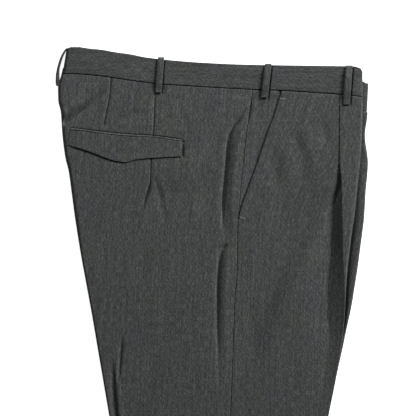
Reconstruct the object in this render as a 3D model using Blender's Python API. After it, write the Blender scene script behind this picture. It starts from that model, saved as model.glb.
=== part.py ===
# Pleated dress trousers, folded in half along the centre back and the front creases and laid flat,
# the wearer's right side up.  Run with: blender --background --python part.py
#
# Every size below is in millimetres.  A place on the folded garment is given as
#   across: from the furthest point at the centre back fold, towards the front creases
#   drop:   from the top of the waistband at the centre back, down the legs
#   height: above the surface that the garment lies on
import bmesh
import bpy
import numpy as np

MM = 0.001

# Driving sizes
CLOTH = 1.2  # wall of one layer of cloth
BAND_WALL = 2.2  # wall of the interlined waistband
GAP = 0.3  # space between two pieces
SEAM_ROOM = 0.6  # and along the waist seam, whose two sides bend at different places
LENGTH = 1050.0  # top of the waistband to the hem
WIDTH = 406.8  # centre back loop to the front of the left waistband
HEM_SLOPE = 8.0  # the hem is this much higher at the front crease
TUCK = 57.0  # waistband turned in at the front, from the front fold to the fly
LEFT_DROP = 15.6  # the left half lies this much lower at the front
BAND_RISE = 0.6  # the waistband stands this much above the panels
PLEAT_BEND = 0.78  # bend radius of the pleat, at the middle of the wall
DEEPEST_DIP = 2.6  # how far the front sinks at the most to meet its pleat
LOOP_WALL = 1.7
LOOP_ARCH = 1.6  # how far a belt loop stands off the waistband
FLAP_WALL = 1.3
WELT_WALL = 0.9
CORE_ROOM = 0.3  # more room over the hidden layers, which keep below all that lies
SHOULDER = (6, 24, 55)  # degrees round the back of the hidden layers, above the ledge
SIDE_STEPS = 6  # places round their back edge, below the ledge
CORE_REACH = (-15, -10, -5, 0, 5, 10, 15)  # this far to each side
TONGUE_INSET = 7.0  # the hidden layers end this far inside the waistbands' top edge
UNDER_LIP = 14.0  # how far the left front runs in under the right one
FACING_LAP = 8.0  # how far the facing runs under the edge of the slant pocket

# The folded outline, one row for each drop that shapes it
OUTLINE = {
    "drop": (35, 45, 53, 69, 84, 113, 144, 160, 190, 222, 270, 347, 394, 478, 600, 800, 1050),
    "back": (5.5, 2.9, 2.3, 3.3, 6.6, 8.6, 12.6, 16.6, 20.8, 25.1, 32.9, 47, 55, 69.3, 89.6, 104, 114.8),
}
FRONT_FOLD = {
    "drop": (35, 82, 108, 143, 182, 208, 250, 302, 346, 369, 409, 478, 600, 800, 1050),
    "across": (
        398.6, 398.6, 398.2, 396, 391.9, 389.4, 383.5, 379.1, 376.2, 374.1, 367, 354, 328.9, 315, 304.6,
    ),
}
LEFT_FRONT = {
    "drop": (50, 69, 84, 113, 132, 148, 176, 228, 267, 316, 340, 369, 409, 478, 600, 800, 1050),
    "across": (
        406.8, 405.3, 403.8, 400.6, 402.6, 404.8, 402.2, 398.6, 393, 385.6, 379.8, 373.1,
        366, 353, 328, 314, 303.8,
    ),
}
SIDE_SEAM = {
    "drop": (35, 57, 91, 119, 162, 197, 239, 294, 334, 375, 480, 600, 1050),
    "across": (257, 255.8, 251.2, 247, 242.7, 239.2, 236.3, 235.3, 232.4, 231, 227, 223, 220),
}
SLANT = {
    "drop": (35, 55, 88, 118, 152, 183, 205, 215, 224),
    "across": (302, 294.7, 284.3, 273.1, 261.7, 250.5, 242.1, 239.2, 237.6),
}
PLEAT = {
    "drop": (35, 99, 153, 214, 274, 316, 346),
    "fold": (371, 370.5, 370.8, 372.4, 374.4, 376, 376.2),
    "valley": (8, 8, 8.5, 15, 19, 23, 23),
}
BAND_TOP = {
    "across": (12, 21, 32, 39, 62, 75, 97, 115, 143, 185, 248, 332, 386, 395, 398.6),
    "drop": (2, 0, 0, 1.7, 4.4, 7, 10.3, 14, 17.3, 20.8, 23.7, 25.3, 25.9, 27.7, 31.7),
}
BAND_SEAM = {
    "across": (0, 19, 34, 62, 97, 128, 165, 247, 299, 332, 362, 399),
    "drop": (35, 34.8, 35.4, 38.2, 43.4, 47.4, 50.2, 55, 56.8, 59, 61.1, 64.9),
}
BAND_BACK_TOP = 13.4  # across, the centre back fold at the top of the waistband
BAND_BACK_SEAM = 6.2  # and at its seam

# How thick the folded garment lies, at its back edge, its middle and its front edge
THICKNESS = {
    "drop": (0, 35, 120, 250, 380, 600, 1050),
    "back": (8.4, 8.6, 9.0, 10.0, 9.4, 8.6, 7.0),
    "middle": (9.6, 10.2, 10.8, 10.8, 10.4, 9.4, 7.4),
    "front": (11.2, 11.6, 12.0, 11.6, 10.0, 9.0, 7.0),
}
# The back edge is one fold down to the crotch and two, leg on leg, below it
CROTCH_START = 225.0
CROTCH_END = 300.0

# Soft folds in the cloth.  Each runs between two places; trough and ridge are heights,
# and width is the reach of the trough to each side
SOFT_FOLDS = (
    # name, across and drop at the start, across and drop at the end, trough, ridge, width
    ("hip fold, top", (236, 96), (224, 150), 1.6, 1.0, 5.0),
    ("hip fold, middle", (224, 140), (215, 235), 2.0, 1.1, 5.0),
    ("hip fold, foot", (215, 262), (211, 362), 1.5, 0.8, 5.0),
    ("seat drag", (18, 92), (46, 70), 1.2, 0.9, 6.0),
    ("thigh crease", (77, 405), (80, 485), 0.9, 0.5, 5.0),
)

# Rows down the legs: from one drop to the next, in so many steps
ROW_STEPS = ((35, 400, 24), (400, 600, 5), (600, 1042, 4), (1042, 1050, 1))
BACK_COLUMNS = (0, 0.06, 0.15, 0.27, 0.4, 0.53, 0.65, 0.75, 0.82, 0.86, 0.89, 0.92, 0.95, 0.975, 1)
FRONT_COLUMNS = (0, 0.03, 0.11, 0.25, 0.42, 0.58, 0.72, 0.82, 0.89, 0.94, 0.975, 1)
CORE_COLUMNS = (0, 0.05, 0.15, 0.28, 0.42, 0.5, 0.56, 0.62, 0.7, 0.78, 0.85, 0.91, 1)
STRIP_ROWS = (0, 0.04, 0.35, 0.65, 0.96, 1)  # rows of a piece that lies on the panels, top to bottom
LOOP_ROWS = (0, 0.05, 0.12, 0.22, 0.4, 0.58, 0.72, 0.82, 0.95, 1)

# Back pocket, in from left to right
WELT = {"across": (20, 53, 87, 122, 165.8), "top": (105.7, 107, 110.5, 113.4, 119.3)}
WELT_HEIGHT = 2.8
FLAP_LEFT = (19.0, 15.0)  # across, at the top and at the bottom corner
FLAP_RIGHT = 165.8
FLAP_DEPTH = {"part": (0, 0.2, 0.44, 0.5, 0.6, 0.75, 1), "depth": (20, 27.5, 36.6, 37, 32.5, 28.4, 22.6)}

# Belt loops on the upper side: across at the top and the bottom, width, how far the loop
# stands above the waistband and how far it runs below its seam
LOOPS = (
    ("belt_loop_back", 137.1, 133.6, 8.4, 3.0, 12.0),
    ("belt_loop_side", 276.9, 271.9, 8.9, 2.3, 10.6),
    ("belt_loop_front", 381.1, 377.4, 8.7, 1.2, 13.0),
)
BACK_LOOP = {  # the loop on the centre back fold: where its outer face runs, and its thickness
    "drop": (1.6, 7, 15, 24, 30, 37, 45, 50.5),
    "across": (11.2, 9.9, 6.1, 2.8, 1.2, 0.0, 0.0, 0.2),
    "wall": (1.6, 1.7, 2.4, 2.7, 2.8, 2.5, 2.0, 1.6),
}
BACK_LOOP_WIDTH = 8.2

COLOURS = {
    "cloth": (0.064, 0.067, 0.065, 1),
    "facing": (0.058, 0.062, 0.060, 1),
    "band": (0.060, 0.063, 0.062, 1),
    "hidden": (0.050, 0.053, 0.052, 1),
}


def smooth(table, key, value, where):
    """A curve through the table's rows that never overshoots them."""
    x = np.asarray(table[key], float)
    y = np.asarray(table[value], float)
    where = np.clip(np.asarray(where, float), x[0], x[-1])
    step = np.diff(x)
    rise = np.diff(y) / step
    slope = np.zeros_like(y)
    same = rise[:-1] * rise[1:] > 0
    slope[1:-1][same] = 2 * rise[:-1][same] * rise[1:][same] / (rise[:-1][same] + rise[1:][same])
    slope[0], slope[-1] = rise[0], rise[-1]
    i = np.clip(np.searchsorted(x, where, side="right") - 1, 0, len(x) - 2)
    t = (where - x[i]) / step[i]
    start = y[i] * (1 + 2 * t) * (1 - t) ** 2 + slope[i] * step[i] * t * (1 - t) ** 2
    end = y[i + 1] * t * t * (3 - 2 * t) + slope[i + 1] * step[i] * t * t * (t - 1)
    return start + end


def ease(value, low, high):
    """0 below low, 1 above high, and a soft rise between them."""
    t = np.clip((np.asarray(value, float) - low) / (high - low), 0, 1)
    return t * t * (3 - 2 * t)


def back_edge(drop):
    return smooth(OUTLINE, "drop", "back", drop)


def front_edge(drop):
    return smooth(FRONT_FOLD, "drop", "across", drop)


def left_front_edge(drop):
    return smooth(LEFT_FRONT, "drop", "across", drop)


def side_seam(drop):
    return smooth(SIDE_SEAM, "drop", "across", drop)


def front_start(drop):
    """Where the right front begins: at the slant pocket's edge, and below it at the side seam."""
    slant = smooth(SLANT, "drop", "across", drop)
    seam = side_seam(drop) + GAP / 2
    return np.where(np.asarray(drop) < SLANT["drop"][-1], np.maximum(seam, slant), seam)


def band_seam(across):
    return smooth(BAND_SEAM, "across", "drop", across)


def left_shift(across):
    """The left half is turned a little about the centre back, so it lies lower at the front."""
    return LEFT_DROP * np.clip(np.asarray(across, float) / WIDTH, 0, 1)


def part_across(across, drop):
    low, high = back_edge(drop), front_edge(drop)
    return np.clip((across - low) / (high - low), 0, 1)


def real_drop(across, row, left=False):
    """A row follows the waist seam at the top and the slanted hem at the bottom."""
    top = band_seam(across) - BAND_SEAM["drop"][0] + SEAM_ROOM / 2
    if left:
        top = top + left_shift(across)
    near_waist = 1 - ease(row, 35, 215)
    near_hem = ease(row, 900, LENGTH)
    return row + top * near_waist - HEM_SLOPE * part_across(across, row) * near_hem


def edge_on_row(edge, row, left=False):
    across = edge(row)
    for _ in range(4):
        across = edge(real_drop(across, row, left))
    return across


def soft_folds(across, drop):
    height = np.zeros(np.broadcast(across, drop).shape)
    for _, start, end, trough, ridge, width in SOFT_FOLDS:
        run = np.subtract(end, start).astype(float)
        length = np.hypot(*run)
        run /= length
        dx, dy = across - start[0], drop - start[1]
        along = (dx * run[0] + dy * run[1]) / length
        beside = dx * run[1] - dy * run[0]
        fade = ease(along, -0.12, 0.2) * (1 - ease(along, 0.8, 1.12))
        dip = trough * np.exp(-((beside / width) ** 2))
        swell = ridge * np.exp(-(((beside - 2.3 * width) / (1.5 * width)) ** 2))
        height = height + fade * (swell - dip)
    return height


def surface(across, drop):
    """Height of the upper side, before the edges round away."""
    part = part_across(across, drop)
    back = smooth(THICKNESS, "drop", "back", drop)
    middle = smooth(THICKNESS, "drop", "middle", drop)
    front = smooth(THICKNESS, "drop", "front", drop)
    swell = 1 - (2 * part - 1) ** 2
    return back + (front - back) * part + (middle - (back + front) / 2) * swell + soft_folds(across, drop)


def half_height(across, drop):
    """The level at which the right half lies on the left one."""
    return surface(across, drop) / 2


def facing_zone(across, drop):
    """1 where the facing and the front both cover the pocket, 0 elsewhere."""
    slant = smooth(SLANT, "drop", "across", drop)
    seam = side_seam(drop)
    inside = ease(across, seam + 0.5, np.maximum(slant - 1.5, seam + 1.5))
    ending = 1 - ease(across, slant + FACING_LAP + 1, slant + FACING_LAP + 8)
    return inside * ending * (1 - ease(drop, 222, 236))


def arc(edge, top, radius, turn, steps, side):
    """The round of a fold seen along it: places (across, height) and outward directions,
    from the top of the fold round its outer side.  side is -1 at the back and 1 at the front."""
    angles = np.radians(90) - side * np.radians(turn) * np.arange(steps + 1) / steps
    facing = np.stack([np.cos(angles), np.sin(angles)], 1)
    centre = np.array([edge - side * radius, top - radius])
    return centre + radius * facing, facing


def directions(points):
    """Upward directions of a run of (across, height) places, upright at both ends."""
    run = np.gradient(points, axis=0)
    up = np.stack([-run[:, 1], run[:, 0]], 1)
    up[0] = up[-1] = (0, 1)
    return up / np.linalg.norm(up, axis=1, keepdims=True)


def place(across, drop, height):
    """From the garment's own measures to the frame, with its origin below the middle."""
    across, drop, height = np.broadcast_arrays(across, drop, height)
    return np.stack([across - WIDTH / 2, LENGTH / 2 - drop, height], -1)


def wall_mesh(name, upper, lower, colour):
    """Closes two grids of places into one body: the outer side, the inner side and all four rims."""
    upper, lower = np.asarray(upper), np.asarray(lower)
    rows, columns = upper.shape[:2]
    verts = np.concatenate([upper.reshape(-1, 3), lower.reshape(-1, 3)]) * MM
    count = rows * columns
    faces = []
    for r in range(rows - 1):
        for c in range(columns - 1):
            a, b = r * columns + c, (r + 1) * columns + c
            faces.append((a, b, b + 1, a + 1))
            faces.append((count + a, count + a + 1, count + b + 1, count + b))
    for r in range(rows - 1):
        for c, order in ((0, 1), (columns - 1, -1)):
            a, b = r * columns + c, (r + 1) * columns + c
            faces.append((a, count + a, count + b, b)[::order])
    last = (rows - 1) * columns
    for c in range(columns - 1):
        for start, order in ((0, 1), (last, -1)):
            near, far = start + c, count + start + c
            faces.append((near, near + 1, far + 1)[::order])
            faces.append((near, far + 1, far)[::order])
    mesh = bpy.data.meshes.new(name)
    mesh.from_pydata(verts.tolist(), [], faces)
    work = bmesh.new()
    work.from_mesh(mesh)
    bmesh.ops.recalc_face_normals(work, faces=work.faces)
    work.to_mesh(mesh)
    work.free()
    mesh.shade_smooth()
    mesh.set_sharp_from_angle(angle=np.radians(50))
    obj = bpy.data.objects.new(name, mesh)
    bpy.context.collection.objects.link(obj)
    mesh.materials.append(cloth_material(colour))
    return obj


def cloth_material(kind):
    material = bpy.data.materials.get(kind)
    if material is None:
        material = bpy.data.materials.new(kind)
        material.use_nodes = True
        shader = material.node_tree.nodes["Principled BSDF"]
        shader.inputs["Base Color"].default_value = COLOURS[kind]
        shader.inputs["Roughness"].default_value = 0.9
        shader.inputs["Metallic"].default_value = 0.0
    return material


def row_drops(last=LENGTH):
    rows = [ROW_STEPS[0][0]]
    for start, end, steps in ROW_STEPS:
        rows += [start + (end - start) * (k + 1) / steps for k in range(steps)]
    return [row for row in rows if row <= last]


def back_turn(drop):
    """How far the cloth turns round the back edge: a quarter at the seat, half round a leg."""
    return 90 + 90 * float(ease(drop, CROTCH_START, CROTCH_END))


def fold_radius(edge, drop, turn):
    """Outer radius of a fold that ends just above the middle of the thickness."""
    top = float(surface(edge, drop))
    return (top / 2 - GAP / 2) / (1 - np.cos(np.radians(turn)))


def back_panel():
    """Right back, from the centre back seam round the fold to the side seam."""
    upper, lower = [], []
    for row in row_drops():
        edge = float(edge_on_row(back_edge, row))
        seam = float(edge_on_row(side_seam, row)) - GAP / 2
        drop = float(real_drop(edge, row))
        turn = back_turn(drop)
        radius = fold_radius(edge, drop, turn)
        top = float(surface(edge + radius, drop))
        round_part, round_facing = arc(edge, top, radius, turn, 6, -1)
        across = edge + radius + (seam - edge - radius) * np.array(BACK_COLUMNS)[1:]
        flat = np.stack([across, surface(across, real_drop(across, row))], 1)
        points = np.concatenate([round_part[::-1], flat])
        facing = np.concatenate([round_facing[::-1], directions(flat)])
        inner = points - CLOTH * facing
        drops = real_drop(points[:, 0], row)
        upper.append(place(points[:, 0], drops, points[:, 1]))
        lower.append(place(inner[:, 0], drops, inner[:, 1]))
    return wall_mesh("right_back_panel", upper, lower, "cloth")


def pleat_bend(strip):
    """The pleat at one row, from the width of its strip: turn, bend radius and depth."""
    turn = np.radians(4 + 176 * float(ease(strip, 0.6, 7.0)))
    bend = max(PLEAT_BEND, 0.6 / turn)
    depth = float(np.clip(strip - 9, 0, 18)) + 0.4
    return turn, bend, depth


def pleat_at(edge, drop):
    """Where the pleat folds at one row, how wide its valley is, how far its strip stands above
    the main field and how far that field sinks to meet it."""
    fold = float(smooth(PLEAT, "drop", "fold", drop))
    valley = float(smooth(PLEAT, "drop", "valley", drop))
    turn, bend, depth = pleat_bend(max(edge - fold, 0))
    step = 2 * bend * (1 - np.cos(turn)) + depth * np.sin(turn)
    return fold, valley, step, min(step, DEEPEST_DIP)


def main_height(across, drop, fold, valley, dip):
    """The front's main field, which sinks into the pleat."""
    return surface(across, drop) - dip * ease(across, fold - valley, fold)


def front_section(row):
    """The right front at one row, along the middle of its wall: the main field, the pleat's
    two bends, the strip on top of them and the round of the front crease."""
    start = float(edge_on_row(front_start, row))
    edge = float(edge_on_row(front_edge, row))
    drop = float(real_drop(edge, row))
    fold, valley, step, dip = pleat_at(edge, drop)
    turn, bend, depth = pleat_bend(max(edge - fold, 0))
    strip_top = float(surface(edge, drop)) - dip + step
    radius = (strip_top - float(half_height(edge, drop)) - GAP / 2) / 2
    half = CLOTH / 2
    strip_start = min(fold + bend + half, edge - radius)
    field_end = strip_start - 2 * bend * np.sin(turn) - depth * np.cos(turn)
    across = start + (field_end - start) * np.array(FRONT_COLUMNS)
    levels = main_height(across, real_drop(across, row), fold, valley, dip) - half
    field = np.stack([across, levels], 1)
    up = directions(field)
    bends = turn * np.array([0.25, 0.5, 0.75, 1.0])
    first = field[-1] + bend * np.stack([np.sin(bends), 1 - np.cos(bends)], 1)
    first_up = np.stack([-np.sin(bends), np.cos(bends)], 1)
    run = first[-1] + depth * np.array([np.cos(turn), np.sin(turn)])
    left = turn - turn * np.array([0.0, 0.25, 0.5, 0.75, 1.0])
    second = run + bend * np.stack([np.sin(turn) - np.sin(left), np.cos(left) - np.cos(turn)], 1)
    second_up = np.stack([-np.sin(left), np.cos(left)], 1)
    round_part, round_facing = arc(edge - half, second[-1][1], radius - half, 180, 6, 1)
    points = np.concatenate([field, first, second, round_part[1:]])
    facing = np.concatenate([up, first_up, second_up, round_facing[1:]])
    return points, facing


def front_panel():
    """Right front, from the slant pocket and the side seam to the front crease, pleat included."""
    upper, lower = [], []
    for row in row_drops():
        points, facing = front_section(row)
        drops = real_drop(points[:, 0], row)
        outer = points + facing * CLOTH / 2
        inner = points - facing * CLOTH / 2
        upper.append(place(outer[:, 0], drops, outer[:, 1]))
        lower.append(place(inner[:, 0], drops, inner[:, 1]))
    return wall_mesh("right_front_panel", upper, lower, "cloth")


def pocket_facing():
    """The part of the side that shows behind the slant pocket's edge, running in under it."""
    upper, lower = [], []
    rows = np.linspace(35, 211, 13)
    for row in rows:
        start = float(edge_on_row(side_seam, row)) + GAP / 2
        slant = float(edge_on_row(front_start, row))
        across = np.concatenate([np.linspace(start, slant - 1, 6), [slant + 0.6, slant + FACING_LAP]])
        drops = real_drop(across, row)
        sunk = (CLOTH + GAP) * ease(across, start + 0.2 * (slant - start), slant - 1)
        height = surface(across, drops) - sunk
        upper.append(place(across, drops, height))
        lower.append(place(across, drops, height - CLOTH))
    return wall_mesh("right_pocket_facing", upper, lower, "facing")


def left_front():
    """Left front, the lower layer at the front edge: a lip under the right front, the round
    of its own crease and the flat underside."""
    upper, lower = [], []
    for row in row_drops():
        edge = float(edge_on_row(left_front_edge, row, True))
        drop = float(real_drop(edge, row, True))
        top = float(half_height(edge, drop)) - GAP / 2
        radius = top / 2
        round_part, round_facing = arc(edge, top, radius, 180, 8, 1)
        lip = np.array([[edge - radius - UNDER_LIP, top], [edge - radius - UNDER_LIP / 2, top]])
        foot = np.array([[edge - radius - UNDER_LIP / 2, 0], [edge - radius - UNDER_LIP, 0]])
        points = np.concatenate([lip, round_part, foot])
        facing = np.concatenate([[(0, 1)] * 2, round_facing, [(0, -1)] * 2])
        inner = points - CLOTH * facing
        drops = real_drop(points[:, 0], row, True)
        upper.append(place(points[:, 0], drops, points[:, 1]))
        lower.append(place(inner[:, 0], drops, inner[:, 1]))
    return wall_mesh("left_front_panel", upper, lower, "cloth")


def upper_side(across, drop):
    """Height of the panels' outer side, with the round of the back edge and the pleat's strip."""
    edge = back_edge(drop)
    radius = surface(edge, drop) / 2
    inside = np.clip(edge + radius - across, 0, radius)
    height = surface(across, drop) - (radius - np.sqrt(radius**2 - inside**2))
    middle = float(np.mean(drop))
    fold, valley, step, dip = pleat_at(float(front_edge(middle)), middle)
    height = height - dip * ease(across, fold - valley, fold)
    return height + step * ease(across, fold - 0.5, fold)


def lying_strip(name, across, top, bottom, lift, wall, colour):
    """A piece that lies on the panels: its outline runs along `across` between two drops."""
    upper, lower = [], []
    for part in STRIP_ROWS:
        drops = top + (bottom - top) * part
        base = np.array([upper_side(np.array([a]), np.array([d]))[0] for a, d in zip(across[part], drops)])
        soft = 0.35 * wall if part in (0, 1) else 0
        upper.append(place(across[part], drops, base + lift + wall - soft))
        lower.append(place(across[part], drops, base + lift))
    return wall_mesh(name, upper, lower, colour)


def back_pocket():
    """The jetting that finishes the pocket's mouth and the pointed flap that hangs from it."""
    parts = np.linspace(0, 1, 15)
    jet_across = WELT["across"][0] + (FLAP_RIGHT - WELT["across"][0]) * parts
    jet_top = smooth(WELT, "across", "top", jet_across)
    jet = {part: jet_across for part in STRIP_ROWS}
    lying_strip("back_pocket_welt", jet, jet_top, jet_top + WELT_HEIGHT, GAP, WELT_WALL, "cloth")
    flap = {}
    for part in STRIP_ROWS:
        left = FLAP_LEFT[0] + (FLAP_LEFT[1] - FLAP_LEFT[0]) * part
        flap[part] = left + (FLAP_RIGHT - left) * parts
    flap_top = smooth(WELT, "across", "top", flap[0]) + WELT_HEIGHT + GAP
    depth = smooth(FLAP_DEPTH, "part", "depth", parts)
    lying_strip("back_pocket_flap", flap, flap_top, flap_top + depth, GAP, FLAP_WALL, "cloth")


def belt_loop(name, top_across, bottom_across, width, above, below):
    """A loop on the waistband: sewn down at both ends and arched between them."""
    middle = (top_across + bottom_across) / 2
    start = float(band_edges(top_across)[0]) - above
    end = float(band_seam(bottom_across)) + below
    upper, lower = [], []
    for part in LOOP_ROWS:
        drop = start + (end - start) * part
        centre = top_across + (bottom_across - top_across) * part
        across = centre + width * np.array([-0.5, -0.42, 0.42, 0.5])
        on_band = float(band_height(middle))
        on_panel = float(np.max(upper_side(across, np.full(4, drop))))
        seam = float(band_seam(middle))
        base = on_band + (on_panel - on_band) * float(ease(drop, seam - 2, seam + 5))
        base = max(base, on_band) if drop < seam + 1 else base
        arch = LOOP_ARCH * float(ease(part, 0.04, 0.3) * (1 - ease(part, 0.62, 0.95)))
        height = base + GAP + arch
        soft = np.array([0.5, 0, 0, 0.5]) + (0.4 if part in (0, 1) else 0)
        upper.append(place(across, drop, height + LOOP_WALL - soft))
        lower.append(place(across, drop, np.full(4, height)))
    return wall_mesh(name, upper, lower, "band")


def centre_back_loop():
    """The loop on the centre back fold, which stands off sideways and is as wide as the fold is high."""
    upper, lower = [], []
    for drop in (1.6, 3, 7, 11, 16, 24, 31, 37, 43, 47, 50.5):
        outer = float(smooth(BACK_LOOP, "drop", "across", drop))
        wall = float(smooth(BACK_LOOP, "drop", "wall", drop))
        heights = BACK_LOOP_WIDTH * np.array([0, 0.12, 0.88, 1]) + 0.25
        soft = np.array([0.5, 0, 0, 0.5]) + (0.4 if drop in (1.6, 50.5) else 0)
        upper.append(place(outer + soft, drop, heights))
        lower.append(place(np.full(4, outer + wall), drop, heights))
    return wall_mesh("belt_loop_centre_back", upper, lower, "band")


def band_edges(across, left=False):
    """The waistband's top edge and its seam."""
    across = np.clip(across, BAND_TOP["across"][0], BAND_TOP["across"][-1])
    top, seam = smooth(BAND_TOP, "across", "drop", across), band_seam(across) - SEAM_ROOM / 2
    if left:
        return top + left_shift(across), seam + left_shift(across)
    return top, seam


def band_height(across):
    across = np.clip(across, 0, WIDTH)
    return surface(across, band_seam(across)) + BAND_RISE


def waistband(name, left):
    """Half of the waistband: from the centre back seam in the middle of the fold, along the
    hip, round the front and back in to the fly."""
    front = WIDTH if left else BAND_TOP["across"][-1]
    upper, lower = [], []
    for part in (0, 0.06, 0.5, 0.94, 1):
        back = BAND_BACK_TOP + (BAND_BACK_SEAM - BAND_BACK_TOP) * part
        top = float(band_height(back))
        radius = top / 2 - GAP / 2
        front_radius = BAND_WALL + GAP
        if left:
            around, around_facing = arc(back, radius * 2, radius, 180, 8, -1)
            around, around_facing = around[4:], around_facing[4:]
        else:
            around, around_facing = arc(back, top, radius, 90, 4, -1)
            around, around_facing = around[::-1], around_facing[::-1]
        across = np.linspace(back + radius, front - front_radius, 24)[1:]
        height = np.zeros_like(across) if left else band_height(across)
        run = np.stack([across, height], 1)
        facing = np.tile([0.0, -1.0], (len(run), 1)) if left else directions(run)
        if left:
            turn, turn_facing = arc(front, 2 * front_radius, front_radius, 180, 6, 1)
            turn, turn_facing = turn[::-1], turn_facing[::-1]
            inward_height, inward_facing = 2 * front_radius, (0.0, 1.0)
        else:
            turn, turn_facing = arc(front, height[-1], front_radius, 180, 6, 1)
            inward_height, inward_facing = height[-1] - 2 * front_radius, (0.0, -1.0)
        inward = [(front - front_radius - TUCK * k / 4, inward_height) for k in (1, 2, 3, 4)]
        points = np.concatenate([around, run, turn[1:], inward])
        facing = np.concatenate([around_facing, facing, turn_facing[1:], [inward_facing] * 4])
        inner = points - BAND_WALL * facing
        top_edge, seam_edge = band_edges(points[:, 0], left)
        drops = top_edge + (seam_edge - top_edge) * part
        thin = 0.25 if part in (0, 1) else 0.0
        outer = points - facing * thin
        inner = inner + facing * thin
        upper.append(place(outer[:, 0], drops, outer[:, 1]))
        lower.append(place(inner[:, 0], drops, inner[:, 1]))
    return wall_mesh(name, upper, lower, "band")


def core_section(row):
    """The hidden layers at one row: chains of places along their upper and their lower side."""
    edge = float(edge_on_row(back_edge, row, True))
    drop = float(real_drop(edge, row, True))
    turn = back_turn(drop)
    leg = (turn - 90) / 90
    middle = float(surface(edge, drop)) / 2
    radius = fold_radius(edge, drop, turn)
    wall_in = edge + CLOTH + 1.5 * GAP + leg * (radius - CLOTH + GAP)
    corner = (1 - leg) * (middle - CLOTH - GAP) + leg * 1.0
    front = float(edge_on_row(front_edge, row, True))
    front_drop = float(real_drop(front, row, True))
    fold, valley, step, dip = pleat_at(front, front_drop)
    strip_top = float(surface(front, front_drop)) - dip + step
    front_middle = float(half_height(front, front_drop))
    front_radius = (strip_top - front_middle - GAP / 2) / 2
    upper_end = front - front_radius - 2 * GAP
    under = float(edge_on_row(left_front_edge, row, True))
    lower_end = under - float(half_height(under, front_drop)) / 2 - UNDER_LIP - 2 * GAP
    across = wall_in + corner + (upper_end - wall_in - corner) * np.array(CORE_COLUMNS)
    drops = real_drop(across, row, True)
    above = [
        main_height(near, drops, fold, valley, dip) - (CLOTH + GAP) * facing_zone(near, drops)
        for near in (across + beside for beside in CORE_REACH)
    ]
    top = np.min(above, axis=0) - CLOTH - GAP - CORE_ROOM
    rise = top[0] - middle + GAP / 2
    angles = np.radians(SHOULDER)
    shoulder = np.stack([wall_in + corner * (1 - np.cos(angles)), top[0] - rise * (1 - np.sin(angles))], 1)
    angles = np.radians(np.linspace(270 - turn, 270, SIDE_STEPS + 1))
    below = np.stack([edge + radius + radius * np.cos(angles), radius + radius * np.sin(angles)], 1)
    ledge_across = np.linspace(below[0][0], wall_in, SIDE_STEPS - 1)
    ledge = np.stack([ledge_across, np.full(SIDE_STEPS - 1, below[0][1])], 1)
    flat_across = np.linspace(below[-1][0], lower_end, len(CORE_COLUMNS) + 2)[1:]
    flat = np.stack([flat_across, np.zeros(len(flat_across))], 1)
    level = front_middle + GAP / 2
    upper = np.concatenate([ledge, shoulder, np.stack([across, top], 1), [(upper_end, front_middle + 1.2)]])
    lower = np.concatenate([below[1:], flat, [(lower_end, level), (upper_end, level)]])
    return upper, lower


def tongue_section(part, over, under):
    """The hidden layers between the two waistbands, from 0 inside their top edge to 1 at the
    left half's seam.  Its places lie above and below those of the first section of the legs."""
    start = BAND_BACK_TOP + (BAND_BACK_SEAM - BAND_BACK_TOP) * part + float(band_height(BAND_BACK_SEAM)) / 2
    end = BAND_TOP["across"][-1] - 2 * BAND_WALL - TUCK
    floor = BAND_WALL + GAP
    order = np.arange(len(over))
    across = np.clip(over[:, 0], start + 0.3 * order, end - order[::-1])
    sunk = 0 if part == 0 else 2 * CLOTH
    upper = np.stack([across, band_height(across) - floor - CORE_ROOM - sunk], 1)
    inner_side = SIDE_STEPS - 1 + len(SHOULDER)
    upper[:inner_side, 1] = floor + (upper[0][1] - floor) * np.linspace(0.48, 0.95, inner_side)
    upper[:inner_side, 0] = start
    across = np.clip(under[:, 0], start, end - order[::-1])
    height = np.full(len(order), floor)
    height[:SIDE_STEPS] = floor + (upper[inner_side][1] - floor) * np.linspace(0.42, 0, SIDE_STEPS)
    across[:SIDE_STEPS] = start
    across[-2:] = end
    height[-2:] = floor + 0.6, upper[-1][1] - 0.6
    return upper, np.stack([across, height], 1)


def tongue_drop(across, part):
    top, seam = band_edges(across, True)
    top = top + TONGUE_INSET
    return top + (seam + SEAM_ROOM - top) * part


def folded_under_layers():
    """One rounded solid for the layers that the fold hides, flat where it lies."""
    upper, lower = [], []
    rows = row_drops()
    rows[0] += SEAM_ROOM / 2
    for part in (0, 0.5, 1):
        over, under = tongue_section(part, *core_section(rows[0]))
        upper.append(place(over[:, 0], tongue_drop(over[:, 0], part), over[:, 1]))
        lower.append(place(under[:, 0], tongue_drop(under[:, 0], part), under[:, 1]))
    for row in rows:
        over, under = core_section(row)
        upper.append(place(over[:, 0], real_drop(over[:, 0], row, True), over[:, 1]))
        lower.append(place(under[:, 0], real_drop(under[:, 0], row, True), under[:, 1]))
    return wall_mesh("folded_under_layers", upper, lower, "hidden")


for stale in list(bpy.data.objects):
    bpy.data.objects.remove(stale)
back_panel()
front_panel()
pocket_facing()
left_front()
waistband("waistband_right", False)
waistband("waistband_left", True)
folded_under_layers()
back_pocket()
for loop in LOOPS:
    belt_loop(*loop)
centre_back_loop()
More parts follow.
